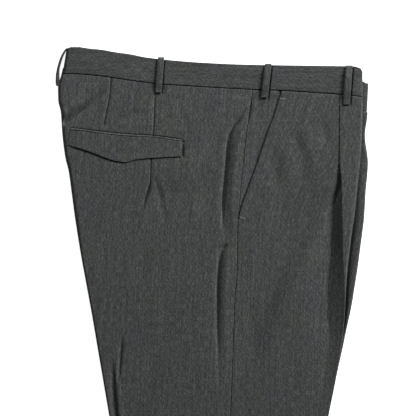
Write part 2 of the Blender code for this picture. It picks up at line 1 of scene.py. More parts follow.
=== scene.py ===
# Pleated dress trousers in charcoal worsted wool, folded in half along the centre back and the
# front creases and laid flat, the wearer's right side up.
import math
import bmesh
import bpy
import numpy as np
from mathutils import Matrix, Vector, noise


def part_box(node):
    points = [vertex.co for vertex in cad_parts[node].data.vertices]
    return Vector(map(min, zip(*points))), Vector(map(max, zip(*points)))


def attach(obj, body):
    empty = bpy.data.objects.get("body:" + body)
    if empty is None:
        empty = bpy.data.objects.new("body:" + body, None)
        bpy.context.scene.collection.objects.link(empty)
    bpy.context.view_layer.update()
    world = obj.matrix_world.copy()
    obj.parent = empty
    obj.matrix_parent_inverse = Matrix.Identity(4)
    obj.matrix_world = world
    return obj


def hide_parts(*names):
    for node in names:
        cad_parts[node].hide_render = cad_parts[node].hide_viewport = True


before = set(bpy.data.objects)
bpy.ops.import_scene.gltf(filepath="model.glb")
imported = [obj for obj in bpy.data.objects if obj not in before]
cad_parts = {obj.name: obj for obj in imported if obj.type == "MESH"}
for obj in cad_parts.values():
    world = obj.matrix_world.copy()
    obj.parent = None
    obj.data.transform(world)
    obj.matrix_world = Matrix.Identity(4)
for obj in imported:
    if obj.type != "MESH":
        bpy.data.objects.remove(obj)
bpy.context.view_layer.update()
bpy.ops.object.select_all(action="DESELECT")
print("frame loaded")

# Sizes are in millimetres.  A place on the folded garment is given by
#   across: from the furthest point of the centre back fold, towards the front creases
#   drop:   from the top of the waistband at the centre back, down the legs
#   height: above the table
mm = 0.001
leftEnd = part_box("belt_loop_centre_back")[0].x / mm
garment = {
    "left": leftEnd,  # where across is 0
    "hem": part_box("right_back_panel")[0].y / mm,  # where drop is the whole length
    "width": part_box("waistband_left")[1].x / mm - leftEnd,
    "length": 1050.0,
    "cloth": 0.75,  # worsted, pressed
    "allowance": 1.62,  # a turned edge is this deep, two layers and a little air
    "bandWall": 2.2,  # waistband with its interlining
    "gap": 0.3,
    "waistEase": (35, 215),  # rows of the mesh follow the waist seam, less and less between these
    "hemEase": 900,  # and from here on the slanted hem, more and more
    "hemSlope": 8.0,  # the hem is this much higher at the front crease
    "tuck": 57.0,  # turned in at the front, from the crease to the fly
    "tuckEase": (180, 300),  # and more and more between these, as far as the inseam
    "inseam": 0.46,  # where the inseam lies, as a part of the leg's width
    "inseamEase": (262, 330),  # between these the back comes to be turned in as far as this
    "crotch": (225.0, 300.0),  # the back's fold is open above and a pressed crease below
    "leftDrop": 19.0,  # the left half lies this much lower at the front
    "leftTop": 15.6,  # and the top of its waistband this much
    "creaseReach": 3.2,  # how far a pressed crease rounds away
    "seatReach": 5.0,
    "foldRound": 0.8,  # below 1 a fold's edge is sharper than a circle's
    "backSag": 0.9,  # the layers turned in lie this much lower
    "frontSag": 1.1,
    "sagReach": 12.0,
}
backOutline = {
    "drop": (26, 35, 45, 53, 69, 84, 113, 144, 160, 190, 222, 270, 347, 394, 478, 600, 800, 1050),
    "across": (9.8, 7.6, 4.5, 3.0, 3.3, 6.6, 8.6, 12.6, 16.6, 20.8, 25.1, 32.9, 47, 55, 69.3, 89.6, 104,
               114.8),
}
frontOutline = {
    "drop": (35, 82, 108, 143, 182, 208, 250, 302, 346, 369, 409, 478, 600, 800, 1050),
    "across": (398.9, 398.6, 398.2, 396, 391.9, 389.4, 383.6, 377.9, 375.6, 373.8, 368.2, 354.8, 328.9,
               315, 304.6),
}
leftFrontOutline = {
    "drop": (50, 69, 82, 95, 113, 122, 132, 150, 168, 186, 205, 223, 241, 259, 277, 296, 314, 332, 350,
             368, 387, 405, 423, 441, 478, 600, 800, 1050),
    "across": (407.2, 406.5, 406.0, 404.8, 402.3, 402.6, 404.2, 406.2, 405.1, 403.3, 402.2, 401, 398.8,
               396.4, 394.1, 391.3, 388.4, 385.6, 382, 378, 374.2, 370.2, 366.3, 362.3, 355, 328.5, 314,
               303.8),
}
sideSeamLine = {
    "drop": (35, 57, 91, 119, 162, 197, 239, 294, 334, 375, 480, 600, 1050),
    "across": (257, 255.8, 251.2, 247, 242.7, 239.2, 236.3, 235.3, 232.4, 231, 227, 223, 220),
}
slantLine = {
    "drop": (35, 55, 88, 118, 152, 183, 205, 215, 224),
    "across": (302, 294.7, 284.3, 273.1, 261.7, 250.5, 242.1, 239.2, 237.6),
}
bandTopLine = {
    "across": (12, 21, 32, 39, 62, 75, 97, 115, 143, 185, 248, 332, 386, 395, 398.6),
    "drop": (2.4, 0, 0, 1.4, 3.9, 6.4, 9.5, 13.2, 16.6, 20.2, 23.1, 24.5, 25.4, 27.2, 31.7),
}
bandSeamLine = {
    "across": (0, 19, 34, 62, 97, 128, 165, 247, 299, 332, 362, 399),
    "drop": (35, 34.8, 35.4, 38.2, 43.4, 47.4, 50.2, 55, 56.8, 59, 61.1, 64.9),
}
thickness = {  # of the folded garment, at its back edge, its middle and its front edge
    "drop": (0, 35, 120, 250, 380, 600, 1050),
    "back": (8.4, 8.6, 9.0, 10.0, 9.4, 8.6, 7.0),
    "middle": (9.6, 10.2, 10.8, 10.8, 10.4, 9.4, 7.4),
    "front": (11.2, 11.6, 12.0, 11.6, 10.0, 9.0, 7.0),
}
waves = ((0.26, 38, 110, 0.3), (0.12, 15, 60, 4.1))  # height, width, length and seed of soft waves
bandWave = (0.25, 26, 30, 7.7)


# Curves and places

def curveThrough(table, key, value, where):
    # a curve through the table's rows that never overshoots them
    x = np.asarray(table[key], float)
    y = np.asarray(table[value], float)
    where = np.clip(np.asarray(where, float), x[0], x[-1])
    step = np.diff(x)
    rise = np.diff(y) / step
    slope = np.zeros_like(y)
    same = rise[:-1] * rise[1:] > 0
    slope[1:-1][same] = 2 * rise[:-1][same] * rise[1:][same] / (rise[:-1][same] + rise[1:][same])
    slope[0], slope[-1] = rise[0], rise[-1]
    i = np.clip(np.searchsorted(x, where, side="right") - 1, 0, len(x) - 2)
    t = (where - x[i]) / step[i]
    start = y[i] * (1 + 2 * t) * (1 - t) ** 2 + slope[i] * step[i] * t * (1 - t) ** 2
    end = y[i + 1] * t * t * (3 - 2 * t) + slope[i + 1] * step[i] * t * t * (t - 1)
    return start + end


def ease(value, low, high):
    # 0 up to low, 1 from high on and a smooth rise between
    t = np.clip((np.asarray(value, float) - low) / (high - low), 0, 1)
    return t * t * (3 - 2 * t)


def alongLine(table, given, found):
    # a line of the garment, as a function of one of its table's columns
    return lambda at: curveThrough(table, given, found, at)


backEdge = alongLine(backOutline, "drop", "across")
frontEdge = alongLine(frontOutline, "drop", "across")
leftFrontEdge = alongLine(leftFrontOutline, "drop", "across")
sideSeam = alongLine(sideSeamLine, "drop", "across")
slantEdge = alongLine(slantLine, "drop", "across")
bandSeam = alongLine(bandSeamLine, "across", "drop")
bandTop = alongLine(bandTopLine, "across", "drop")


def frontStart(drop):
    # the right front begins at the slant pocket's edge, and below it at the side seam
    seam = sideSeam(drop) + garment["gap"] / 2
    return np.where(np.asarray(drop) < slantLine["drop"][-1], np.maximum(seam, slantEdge(drop)), seam)


def leftShift(across):
    # the left half lies a little turned
    return garment["leftDrop"] * np.clip(np.asarray(across, float) / garment["width"], 0, 1)


def partAcross(across, drop):
    low, high = backEdge(drop), frontEdge(drop)
    return np.clip((across - low) / (high - low), 0, 1)


def inseamAt(drop):
    low, high = float(backEdge(drop)), float(frontEdge(drop))
    return low + (high - low) * garment["inseam"]


def tuckedBy(edge, drop):
    # how much of the front is turned in at its crease
    return garment["tuck"] + ease(drop, *garment["tuckEase"]) * (edge - inseamAt(drop) - garment["tuck"])


def realDrop(across, row, left=False):
    # where a row of the mesh, named by its drop on a straight garment, really lies
    top = bandSeam(across) - bandSeamLine["drop"][0]
    if left:
        top = top + leftShift(across)
    nearWaist = 1 - ease(row, *garment["waistEase"])
    nearHem = ease(row, garment["hemEase"], garment["length"])
    return row + top * nearWaist - garment["hemSlope"] * partAcross(across, row) * nearHem


def onRow(edge, row, dropAt):
    # where a line crosses a row of the mesh
    across = edge(row)
    for _ in range(4):
        across = edge(dropAt(across, row))
    return float(across)


def besidePath(path, across, drop):
    # how far a place lies to the right of a path that runs down, and how far along it, 0 to 1
    path = np.asarray(path, float)
    steps = np.diff(path, axis=0)
    lengths = np.hypot(steps[:, 0], steps[:, 1])
    reached = np.concatenate([[0], np.cumsum(lengths)])
    nearest = np.full(np.broadcast(across, drop).shape, np.inf)
    beside = np.zeros_like(nearest)
    along = np.zeros_like(nearest)
    last = len(steps) - 1
    for k, (step, length) in enumerate(zip(steps / lengths[:, None], lengths)):
        dx, dy = across - path[k, 0], drop - path[k, 1]
        run = dx * step[0] + dy * step[1]
        inside = np.clip(run, -np.inf if k == 0 else 0, np.inf if k == last else length)
        distance = np.hypot(dx - step[0] * inside, dy - step[1] * inside)
        side = np.where(dx * step[1] - dy * step[0] < 0, -1, 1)
        near = distance < nearest
        nearest = np.where(near, distance, nearest)
        beside = np.where(near, side * distance, beside)
        along = np.where(near, (reached[k] + inside) / reached[-1], along)
    return beside, along


hipFoldPath = (
    (245, 80), (242.6, 86), (239.8, 91.6), (236, 96.8), (231.8, 102), (228, 108.2), (225.3, 115),
    (223.6, 122), (222.2, 134), (221.2, 146.8), (219, 172.8), (216.2, 198.8), (216, 216), (217.2, 234),
    (220.4, 252),
)
hipFootPath = (
    (222, 256.5), (217.8, 261), (214.6, 267.5), (212.4, 276), (210.6, 290), (209.6, 309.3), (209.2, 348.3),
    (209, 367.8), (210.4, 387.3), (211.2, 459),
)
# Creases, each a trough along a path of (across, drop): how deep it is, how far it reaches to
# its left and to its right, the ridge beside it (height, how far off, width) and the part of
# its length in which it fades at each end
creases = {
    "hip fold": (hipFoldPath, 3.1, 1.5, 2.8, (0.8, 12, 5.0), (0.14, 0.4)),
    "hip fold, slope": (hipFoldPath[2:], 0.8, 1.5, 8.0, (0.6, 13, 5.0), (0.12, 0.24)),
    "hip fold, foot": (hipFootPath, 2.5, 1.3, 3.0, (0.5, 10, 5.0), (0.03, 0.75)),
    "hip fold, foot slope": (hipFootPath[1:], 0.6, 1.5, 7.5, (0.5, 11, 5.0), (0.08, 0.6)),
    "hip rise": (((160, 126), (165, 160), (168, 196)), -1.8, 56.0, 36.0, (0, 9, 6), (0.45, 0.45)),
    "hip hollow": (((206, 150), (196, 190), (194, 224)), 0.7, 12.0, 10.0, (0, 9, 6), (0.4, 0.3)),
    "side seam drag": (((254.3, 62), (252.9, 80), (250.6, 92), (248.8, 102)), 1.3, 1.5, 1.1,
                       (0.2, 4, 3), (0.4, 0.3)),
    "dart end dimple": (((122.9, 172), (122.3, 179), (120.7, 186), (116.8, 196), (114.2, 205), (113, 213)),
                        2.3, 1.7, 1.7, (0.5, 4.6, 3.0), (0.4, 0.4)),
    "dart end, right": (((126.5, 163), (131, 178), (136, 194), (140.4, 216), (142.4, 238)), 1.0, 3.2, 2.6,
                        (0.4, 6.4, 4), (0.3, 0.4)),
    "seat drag": (((64, 59), (54.8, 65.2), (47, 71), (39.2, 77), (31.4, 83.3), (23.6, 89.6), (13, 97.6),
                   (0, 107)), 6.0, 3.9, 2.4, (1.4, -9.5, 4.5), (0.56, 0.02)),
    "seat drag, upper": (((72, 56), (58, 60), (44, 66), (30, 72)), 0.7, 6.0, 5.0,
                         (0.2, -9, 5), (0.4, 0.4)),
    "side drag": (((122, 83), (104, 89.5), (84, 97)), 0.8, 5.0, 6.0, (0.3, -9, 6), (0.45, 0.45)),
    "facing fold": (((266.6, 60), (266, 84), (265.0, 104)), 0.35, 4.0, 2.5, (0.25, 5, 4), (0.15, 0.4)),
    "pocket end drag": (((164, 78), (169.6, 98), (173.4, 118)), 0.7, 3.2, 3.0, (0.5, 4.6, 3), (0.4, 0.4)),
    "hip streak": (((173, 182), (178, 206), (183, 238)), -0.5, 2.6, 2.2, (0, 6, 4), (0.35, 0.35)),
    "thigh crease": (((86.8, 372), (85.0, 396), (82.8, 420), (81.8, 440)), 1.3, 3.0, 1.8,
                     (0.4, 5, 3.2), (0.3, 0.25)),
    "thigh crease, foot": (((74.2, 398), (74.8, 428), (76.4, 458), (79.4, 490), (84, 524)), 2.0, 5.5, 2.4,
                           (0.8, 6, 4), (0.3, 0.35)),
    "front drape, upper": (((283, 126), (284.6, 152), (287.6, 190)), 1.2, 9.0, 7.5,
                           (0.5, 16, 8), (0.35, 0.35)),
    "front drape, middle": (((304, 98), (313, 124), (320, 146), (321, 182)), 1.2, 9.5, 8.0,
                            (0.5, 15, 8), (0.35, 0.35)),
    "front drape, by the pleat": (((344, 92), (352, 114), (360, 138)), 1.1, 7.0, 5.0,
                                  (0.4, 10, 5), (0.35, 0.35)),
    "thigh drape": (((356, 176), (338, 204), (318, 238), (301, 270), (284, 306), (258, 374), (240, 430),
                     (234, 462)), 3.4, 36.0, 14.0, (0.8, 26, 12), (0.22, 0.32)),
    "knee crease": (((152, 560), (139, 610), (133, 668)), 0.9, 9.0, 6.0, (0.5, 14, 9), (0.35, 0.35)),
    "knee drag": (((292, 590), (268, 640), (249, 672)), 0.8, 10.0, 7.0, (0.5, 15, 10), (0.35, 0.35)),
    "shin crease": (((196, 742), (199, 806), (194, 880)), 0.7, 9.0, 6.5, (0.4, 14, 10), (0.3, 0.3)),
    "calf drag": (((163, 905), (150, 948), (143, 985)), 0.6, 8.0, 6.0, (0.35, 12, 8), (0.35, 0.3)),
}
# Sewn lines on the back: path, depth of the groove, its half width, fade at its two ends
sewnLines = {
    "back dart": (((72.1, 35), (71.9, 43), (70.9, 54), (69.5, 67), (66.8, 80), (64.9, 90), (62, 105)),
                  1.3, 0.75, (0, 0.1)),
    "side dart": (((129.6, 50), (129, 61), (127.3, 106), (123.8, 147), (122.9, 172), (122.3, 179),
                   (120.7, 186), (116.8, 196)), 1.2, 0.75, (0, 0.1)),
    "jet, upper line": (((19, 105.2), (32, 106.2), (44, 107.9), (58, 109.8), (84, 112.4), (99, 113.7),
                         (122, 114.7), (142, 117), (162, 119.9), (166, 120.8)), 1.0, 0.55, (0.02, 0.02)),
    "jet, lower line": (((19, 108), (32, 109.2), (44, 110.6), (58, 112.4), (84, 114.8), (99, 116),
                         (122, 117.1), (142, 119.4), (162, 122.3), (166, 123.1)), 2.0, 0.85, (0.02, 0.01)),
    "pocket end": (((165.6, 120), (165.3, 132), (165, 143.5)), 2.8, 1.15, (0.75, 0.04)),
}


def creaseHeight(across, drop):
    height = np.zeros(np.broadcast(across, drop).shape)
    for path, depth, left, right, ridge, ends in creases.values():
        beside, along = besidePath(path, across, drop)
        fade = ease(along, -0.02, ends[0]) * (1 - ease(along, 1 - ends[1], 1.02))
        reach = np.where(beside < 0, left, right)
        height = height - fade * depth * np.exp(-((beside / reach) ** 2))
        height = height + fade * ridge[0] * np.exp(-(((beside - ridge[1]) / ridge[2]) ** 2))
    return height


def grooveHeight(across, drop):
    height = np.zeros(np.broadcast(across, drop).shape)
    for path, depth, reach, ends in sewnLines.values():
        beside, along = besidePath(path, across, drop)
        fade = ease(along, -0.012, ends[0] + 1e-6) * (1 - ease(along, 1 - ends[1] - 1e-6, 1.012))
        height = height - fade * depth * np.exp(-((beside / reach) ** 2))
    return height


# Belt loops: where the top and the bottom of each lies across, its width, how far it reaches above
# and below the waistband, and how high it stands off the waistband between its stitched ends
loops = {
    "back": {"node": "belt_loop_back", "top": 137.1, "bottom": 133.6, "width": 8.2, "above": 2.4,
             "below": 12.0, "arch": 0.5},
    "side": {"node": "belt_loop_side", "top": 276.3, "bottom": 271.2, "width": 8.5, "above": 1.6,
             "below": 10.6, "arch": 1.2},
    "front": {"node": "belt_loop_front", "top": 381.1, "bottom": 377.4, "width": 8.7, "above": 0.8,
              "below": 13.0, "arch": 1.8},
}
loopBeds = {"depth": (0.8, 2.0), "reach": 0.8, "off": 0.7, "ends": (0.97, 1.05)}


def loopBed(across, drop):
    # pressing has sunk the cloth beside each loop, more on its right
    height = np.zeros(np.broadcast(across, drop).shape)
    for plan in loops.values():
        top, foot = bandTop(plan["top"]) - plan["above"], bandSeam(plan["bottom"]) + plan["below"]
        beside, along = besidePath(((plan["top"], top), (plan["bottom"], foot)), across, drop)
        off = np.abs(beside) - plan["width"] / 2 - loopBeds["off"]
        fade = 1 - ease(along, *loopBeds["ends"])
        depth = np.where(beside < 0, *loopBeds["depth"])
        height = height - depth * fade * np.exp(-((off / loopBeds["reach"]) ** 2))
    return height


def waveHeight(across, drop, height, width, length, seed):
    across, drop = np.broadcast_arrays(np.asarray(across, float), np.asarray(drop, float))
    found = [height * noise.noise((a / width, d / length, seed)) for a, d in zip(across.flat, drop.flat)]
    return np.array(found).reshape(across.shape)


def surfaceRelief(across, drop):
    # folds, and the long soft waves of cloth that never lies quite flat
    return creaseHeight(across, drop) + sum(waveHeight(across, drop, *wave) for wave in waves)


def clothHeight(across, drop):
    # the upper side of the folded garment, before its edges round away
    part = partAcross(across, drop)
    back = curveThrough(thickness, "drop", "back", drop)
    middle = curveThrough(thickness, "drop", "middle", drop)
    front = curveThrough(thickness, "drop", "front", drop)
    swell = 1 - (2 * part - 1) ** 2
    return back + (front - back) * part + (middle - (back + front) / 2) * swell


def nose(edge, top, radius, turn, reach, steps, side):
    # the round of a pressed fold, from its top round its outer side; side is -1 at the back
    angles = np.radians(turn) * np.arange(steps + 1) / steps
    away = reach * (1 - np.sin(angles)) ** garment["foldRound"]
    return np.stack([edge - side * away, top - radius * (1 - np.cos(angles))], 1)


def backFold(edge, drop):
    # how far the back's fold turns and rounds away, and its radius
    leg = float(ease(drop, *garment["crotch"]))
    turn = 90 + 90 * leg
    reach = garment["seatReach"] + (garment["creaseReach"] - garment["seatReach"]) * leg
    thick = float(clothHeight(edge + reach, drop))
    return turn, reach, (thick / 2 - garment["gap"] / 2) / (1 - math.cos(math.radians(turn)))


def place(across, drop, height):
    across, drop, height = np.broadcast_arrays(across, drop, height)
    return np.stack([garment["left"] + across, garment["hem"] + garment["length"] - drop, height], -1)


def gridNormals(grid):
    normals = np.cross(np.gradient(grid, axis=0), np.gradient(grid, axis=1))
    return normals / np.maximum(np.linalg.norm(normals, axis=-1, keepdims=True), 1e-9)


def closeGrids(name, upper, lower, grain, bulge=0.1):
    # the outer side, the inner side and a rounded rim between them, as one closed mesh
    rows, columns = upper.shape[:2]
    rim = [(0, c) for c in range(columns)] + [(r, columns - 1) for r in range(1, rows)]
    rim += [(rows - 1, c) for c in range(columns - 2, -1, -1)] + [(r, 0) for r in range(rows - 2, 0, -1)]
    at = tuple(np.array(rim).T)
    inner = tuple(np.clip(at[k], 1, (rows, columns)[k] - 2) for k in (0, 1))
    outward = upper[at] - upper[inner]
    outward /= np.maximum(np.linalg.norm(outward, axis=1, keepdims=True), 1e-9)
    middle = (upper[at] + lower[at]) / 2 + bulge * outward
    verts = np.concatenate([upper.reshape(-1, 3), lower.reshape(-1, 3), middle]) * mm
    r, c = np.meshgrid(np.arange(rows - 1), np.arange(columns - 1), indexing="ij")
    a = (r * columns + c).ravel()
    b = a + columns
    count = rows * columns
    top = np.stack([a, b, b + 1, a + 1], 1)
    bottom = np.stack([a, a + 1, b + 1, b], 1) + count
    ring = at[0] * columns + at[1]
    after = np.roll(np.arange(len(ring)), -1)
    between = 2 * count + np.arange(len(ring))
    rimUpper = np.stack([ring, ring[after], between[after], between], 1)
    rimLower = np.stack([between, between[after], ring[after] + count, ring + count], 1)
    faces = np.concatenate([top, bottom, rimUpper, rimLower])
    mesh = bpy.data.meshes.new(name)
    mesh.from_pydata(verts.tolist(), [], faces.tolist())
    flat = np.concatenate([grain.reshape(-1, 2), grain.reshape(-1, 2), grain[at]]) * mm
    layer = mesh.uv_layers.new(name="grain")
    corners = np.zeros(len(mesh.loops), int)
    mesh.loops.foreach_get("vertex_index", corners)
    layer.data.foreach_set("uv", flat[corners].astype(np.float32).ravel())
    work = bmesh.new()
    work.from_mesh(mesh)
    bmesh.ops.recalc_face_normals(work, faces=work.faces)
    work.to_mesh(mesh)
    work.free()
    mesh.shade_smooth()
    obj = bpy.data.objects.new(name, mesh)
    bpy.context.collection.objects.link(obj)
    return obj


def clothPiece(name, base, grain, rowPlan, columnPlan, level=slice(0, 0)):
    # rowPlan and columnPlan say which rows and columns follow each other and how deep each lies
    # below the base, so that an edge can be turned under; under the waistband the columns in
    # level go straight down
    wall = garment["cloth"]
    normals = gridNormals(base)
    normals[:len(waistRows), level] = (0, 0, 1)
    (rowAt, rowDepth), (columnAt, columnDepth) = zip(*rowPlan), zip(*columnPlan)
    pick = np.ix_(rowAt, columnAt)
    outer = base[pick] - np.maximum.outer(rowDepth, columnDepth)[..., None] * normals[pick]
    return closeGrids(name, outer, outer - wall * gridNormals(outer), grain[pick], 0.25 * wall)


def finishPiece(obj, material, nodes=()):
    obj.data.materials.append(material)
    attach(obj, "root")
    if nodes:
        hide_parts(*nodes)
    return obj


def stations(anchors, counts, near=(0.4, 0.9, 1.8)):
    # places between the anchors, close together beside each inner one
    places = [anchors[0]]
    for k, count in enumerate(counts):
        low, high = anchors[k], anchors[k + 1]
        room = (high - low) * 0.3  # those beside an anchor take less than a third of the way
        first = [low + min(n, room) for n in near] if k > 0 else []
        final = [high - min(n, room) for n in near[::-1]] if k < len(counts) - 1 else []
        start, stop = (first or [low])[-1], (final or [high])[0]
        inside = start + (stop - start) * np.arange(1, count + 1) / (count + 1)
        places += first + list(inside) + final + [high]
    return np.array(places)


edgeOffsets = np.array([0, 0.15, 0.45, 1.1, 2.4, 5.0])  # from a turned edge, inwards
turnedDepths = np.array([0.5, 0.24, 0.07, 0, 0, 0])  # of the outer layer there, in allowances
waistRows = (27, 32.6, 34.3, 34.9, 35.5, 36.3, 37.6)  # a panel's top goes in under the waistband
waistDepths = (2.75, 2.75, 2.6, 1.9, 0.7, 0.15, 0)
hemRows = (1012, 1030, 1044, 1048.4, 1049.6, 1050)
# the turned hem: the row counted from the end, and its depth in allowances
hemTurn = ((-2, 0.16), (-1, 0.5), (-2, 0.8), (-3, 1.0), (-4, 1.0), (-5, 1.0), (-6, 1.0))
legRange = (40, 480, 1010)  # fine rows in the part that has folds, then coarser ones
coarser = 2.6


def legRows(fine, spans=()):
    top, knee, foot = legRange
    rows = [*waistRows, *np.arange(top, knee, fine), *np.arange(knee, foot, coarser * fine), *hemRows]
    for span in spans:
        rows += list(np.arange(*span))
    return np.array(sorted(set(np.round(rows, 3))))


def legRowPlan(rows):
    plan = list(enumerate(waistDepths)) + [(k, 0.0) for k in range(len(waistDepths), len(rows) - 2)]
    return plan + [(len(rows) + back, part * garment["allowance"]) for back, part in hemTurn]


def turnedColumns(first, count, atStart):
    # columns of a turned edge: back under the cloth, round the fold and out along the top
    allowance = garment["allowance"]
    order = range(len(edgeOffsets))
    at = [first + k for k in order] if atStart else [first + count - 1 - k for k in order]
    outer = [(at[k], turnedDepths[k] * allowance) for k in order]
    under = [(at[k], (1 - turnedDepths[k]) * allowance) for k in order if k > 0]
    plan = under[::-1] + outer
    return plan if atStart else plan[::-1]


def arcLengths(grid, reference):
    # distance along each row, counted from one column
    steps = np.linalg.norm(np.diff(grid, axis=1), axis=-1)
    reached = np.concatenate([np.zeros((len(grid), 1)), np.cumsum(steps, axis=1)], axis=1)
    return reached - reached[:, reference][:, None]


def turnedIn(end, run, count, sag):
    # the layer turned in from the end of a fold's round, which hangs a little
    inner = end[0] + run * np.arange(1, count + 1) / count
    return np.stack([inner, end[1] - sag * np.clip(np.abs(inner - end[0]) / garment["sagReach"], 0, 1)], 1)


def grainOf(grid, reference):
    # across and along the warp, in millimetres
    return np.stack([arcLengths(grid, reference), grid[..., 1]], -1)


def buildGrid(rows, points, dropAt, relief):
    # all rows of a piece, with the relief added where its cloth lies open to the top
    across, height = np.moveaxis([points(row) for row in rows], -1, 0)
    drops = np.array([dropAt(a, row) for a, row in zip(across, rows)])
    return place(across, drops, height + relief(across, drops))


# Materials

def linear(code):
    # an sRGB hex colour as Blender's linear one
    parts = [int(code[k:k + 2], 16) / 255 for k in (1, 3, 5)]
    return tuple(p / 12.92 if p <= 0.04045 else ((p + 0.055) / 1.055) ** 2.4 for p in parts) + (1.0,)


def addNode(tree, kind, settings=None, links=None):
    node = tree.nodes.new(kind)
    for key, value in (settings or {}).items():
        if isinstance(key, str) and hasattr(node, key):
            setattr(node, key, value)
        else:
            node.inputs[key].default_value = value
    for key, source in (links or {}).items():
        tree.links.new(source, node.inputs[key])
    return node


def newMaterial(name, sockets):
    material = bpy.data.materials.new(name)
    material.use_nodes = True
    shader = material.node_tree.nodes["Principled BSDF"]
    for socket, value in sockets.items():
        shader.inputs[socket].default_value = value
    return material, material.node_tree, shader


worsted = {
    # of each pattern, its width across the warp and its length along it, in mm, and its detail
    "noises": {
        "streak": (1.7, 8.0, 2.0),  # yarns are 0.25 wide, too fine to show: drawn as wider streaks
        "fleck": (1.8, 2.3, 1.0),  # slubs of lighter and darker fibre
        "stripe": (2.6, 70.0, 1.0),  # long and faint, down the warp
        "tint": (30.0, 46.0, 3.0),
    },
    "roughness": 0.6,
    # twill lines are 0.5 apart, too fine to show: drawn faintly, 4.3 apart
    "twill": {"size": 9.6, "distortion": 1.5},
    "shares": {"fleck": 0.45, "stripe": 0.2, "twill": 0.03},
    # the ends of each range of colours, then what lies between
    "shades": ((0.37, "#1b1d1c"), (0.63, "#646665"), (0.5, "#414342")),
    "tints": ((0.36, "#434540"), (0.64, "#3f4247")),
    "tintShare": 0.35,
    "bumpDepth": 0.16,
    "bumpStrength": 0.5,
    "surface": {"Roughness": 0.86, "Specular IOR Level": 0.18, "Sheen Weight": 0.06,
                "Sheen Roughness": 0.55, "Metallic": 0.0, "IOR": 1.54},
}


def makeWorsted(name, paintedShade=1.0):
    # worsted wool twill, woven from melange yarn and pressed: matt, with fine light and dark
    # streaks along the warp and faint patches of cooler and warmer grey
    material, tree, shader = newMaterial(name, worsted["surface"])
    grain = addNode(tree, "ShaderNodeUVMap", {"uv_map": "grain"}).outputs["UV"]
    found = {}
    twill = worsted["twill"]
    sizes = {**worsted["noises"], "twill": (twill["size"], twill["size"], 1.0)}
    for key, (across, along, detail) in sizes.items():
        scale = (1 / mm / across, 1 / mm / along, 1)
        scaled = addNode(tree, "ShaderNodeVectorMath", {"operation": "MULTIPLY", 1: scale}, {0: grain})
        kind, output, look = "ShaderNodeTexNoise", 0, {"Roughness": worsted["roughness"]}
        if key == "twill":
            kind, output = "ShaderNodeTexWave", 1
            look = {"wave_type": "BANDS", "bands_direction": "DIAGONAL", "Distortion": twill["distortion"]}
        look = {"Scale": 1.0, "Detail": detail, **look}
        pattern = addNode(tree, kind, look, {"Vector": scaled.outputs[0]})
        found[key] = pattern.outputs[output]
    weave = found["streak"]
    for key, share in worsted["shares"].items():
        mixed = addNode(tree, "ShaderNodeMix", {"data_type": "FLOAT", 0: share}, {2: weave, 3: found[key]})
        weave = mixed.outputs[0]
    colours = []
    for key, source in {"shades": weave, "tints": found["tint"]}.items():
        ramp = addNode(tree, "ShaderNodeValToRGB", None, {0: source})
        stops = ramp.color_ramp.elements
        for k, (at, code) in enumerate(worsted[key]):
            stop = stops[k] if k < 2 else stops.new(at)
            stop.position, stop.color = at, linear(code)
        colours.append(ramp.outputs[0])
    tinted = addNode(tree, "ShaderNodeMix", {"data_type": "RGBA", 0: worsted["tintShare"]},
                     {6: colours[0], 7: colours[1]})
    # a copy made with a value below 1 here is darkened all over: painted shade on the same cloth
    paintedShadeMix = addNode(tree, "ShaderNodeMix",
                    {"data_type": "RGBA", "blend_type": "MULTIPLY", 0: 1.0, 7: (paintedShade, paintedShade, paintedShade, 1)},
                    {6: tinted.outputs[2]})
    tree.links.new(paintedShadeMix.outputs[2], shader.inputs["Base Color"])
    relief = {"Strength": worsted["bumpStrength"], "Distance": worsted["bumpDepth"] * mm}
    bump = addNode(tree, "ShaderNodeBump", relief, {"Height": weave})
    tree.links.new(bump.outputs[0], shader.inputs["Normal"])
    return material


woolTwill = makeWorsted("worstedWoolTwill")
# the pocket facing's copy is darkened a little: painted shade, not a darker cloth
woolTwillFacingShaded = makeWorsted("worstedWoolTwillFacingPaintedShade", 0.93)
# the waistband's and belt loops' copy is darkened a little: painted shade, not a darker cloth
woolTwillBandShaded = makeWorsted("worstedWoolTwillWaistbandPaintedShade", 0.95)


# Right back: from the inseam or the open seat, round the back's fold and over to the side seam

rightBack = {
    "rowStep": 3.0,
    # more rows where there are folds and the pocket: from, to, step
    "rows": ((35.8, 50, 1.5), (50.2, 104.5, 1.0), (104.9, 105, 1.0), (105.6, 110.3, 0.5),
             (111.5, 121, 1.5), (232.5, 262, 1.5)),
    "innerColumns": 9,
    "noseSteps": 9,
    "shownSteps": 6,  # of the round, over which the folds begin
    "columns": (25, 17, 14, 17, 9),  # between the lines below
    "seamRoom": 7,  # the last of them keeps this far from the side seam
}
backLines = {  # the darts, the pocket's end and the hip fold, which columns of the mesh follow
    "drop": (35, 60, 80, 92, 101, 112, 122, 150, 178, 186, 196, 206, 220, 236, 252, 262, 275, 292, 312,
             345, 385, 432, 480, 600, 800, 1050),
    "dartBack": (72.1, 70.4, 66.8, 64.6, 62.8, 61.4, 60.6, 60, 60, 60, 60, 60.2, 60.6, 61.3, 62, 62.4,
                 63, 63.7, 64.8, 68, 73, 77, 81, 108, 124, 138),
    "dartSide": (129.6, 129, 128.3, 127.8, 127.5, 126.8, 126.1, 123.7, 122.3, 120.7, 116.8, 114.2,
                 112.6, 111.4, 110, 108.8, 107.2, 105, 101.4, 94, 86.8, 84.8, 92, 128, 146, 160),
    "pocketEnd": (139.2, 138.6, 149.7, 159.9, 164.7, 165.3, 165.2, 165, 164.6, 164.5, 164.2, 163.7,
                  162.6, 161.3, 160.4, 160, 159.4, 158.6, 157.4, 154.6, 152, 150, 150, 162, 176, 190),
    "hipFold": (240, 241, 241.5, 239.5, 232.5, 226.4, 223.6, 220.9, 218.4, 217.4, 216.5, 216.1, 216.1,
                217.4, 220.3, 217.2, 212.7, 210.5, 209.6, 209.2, 210.3, 210.8, 208, 206, 204, 204),
}
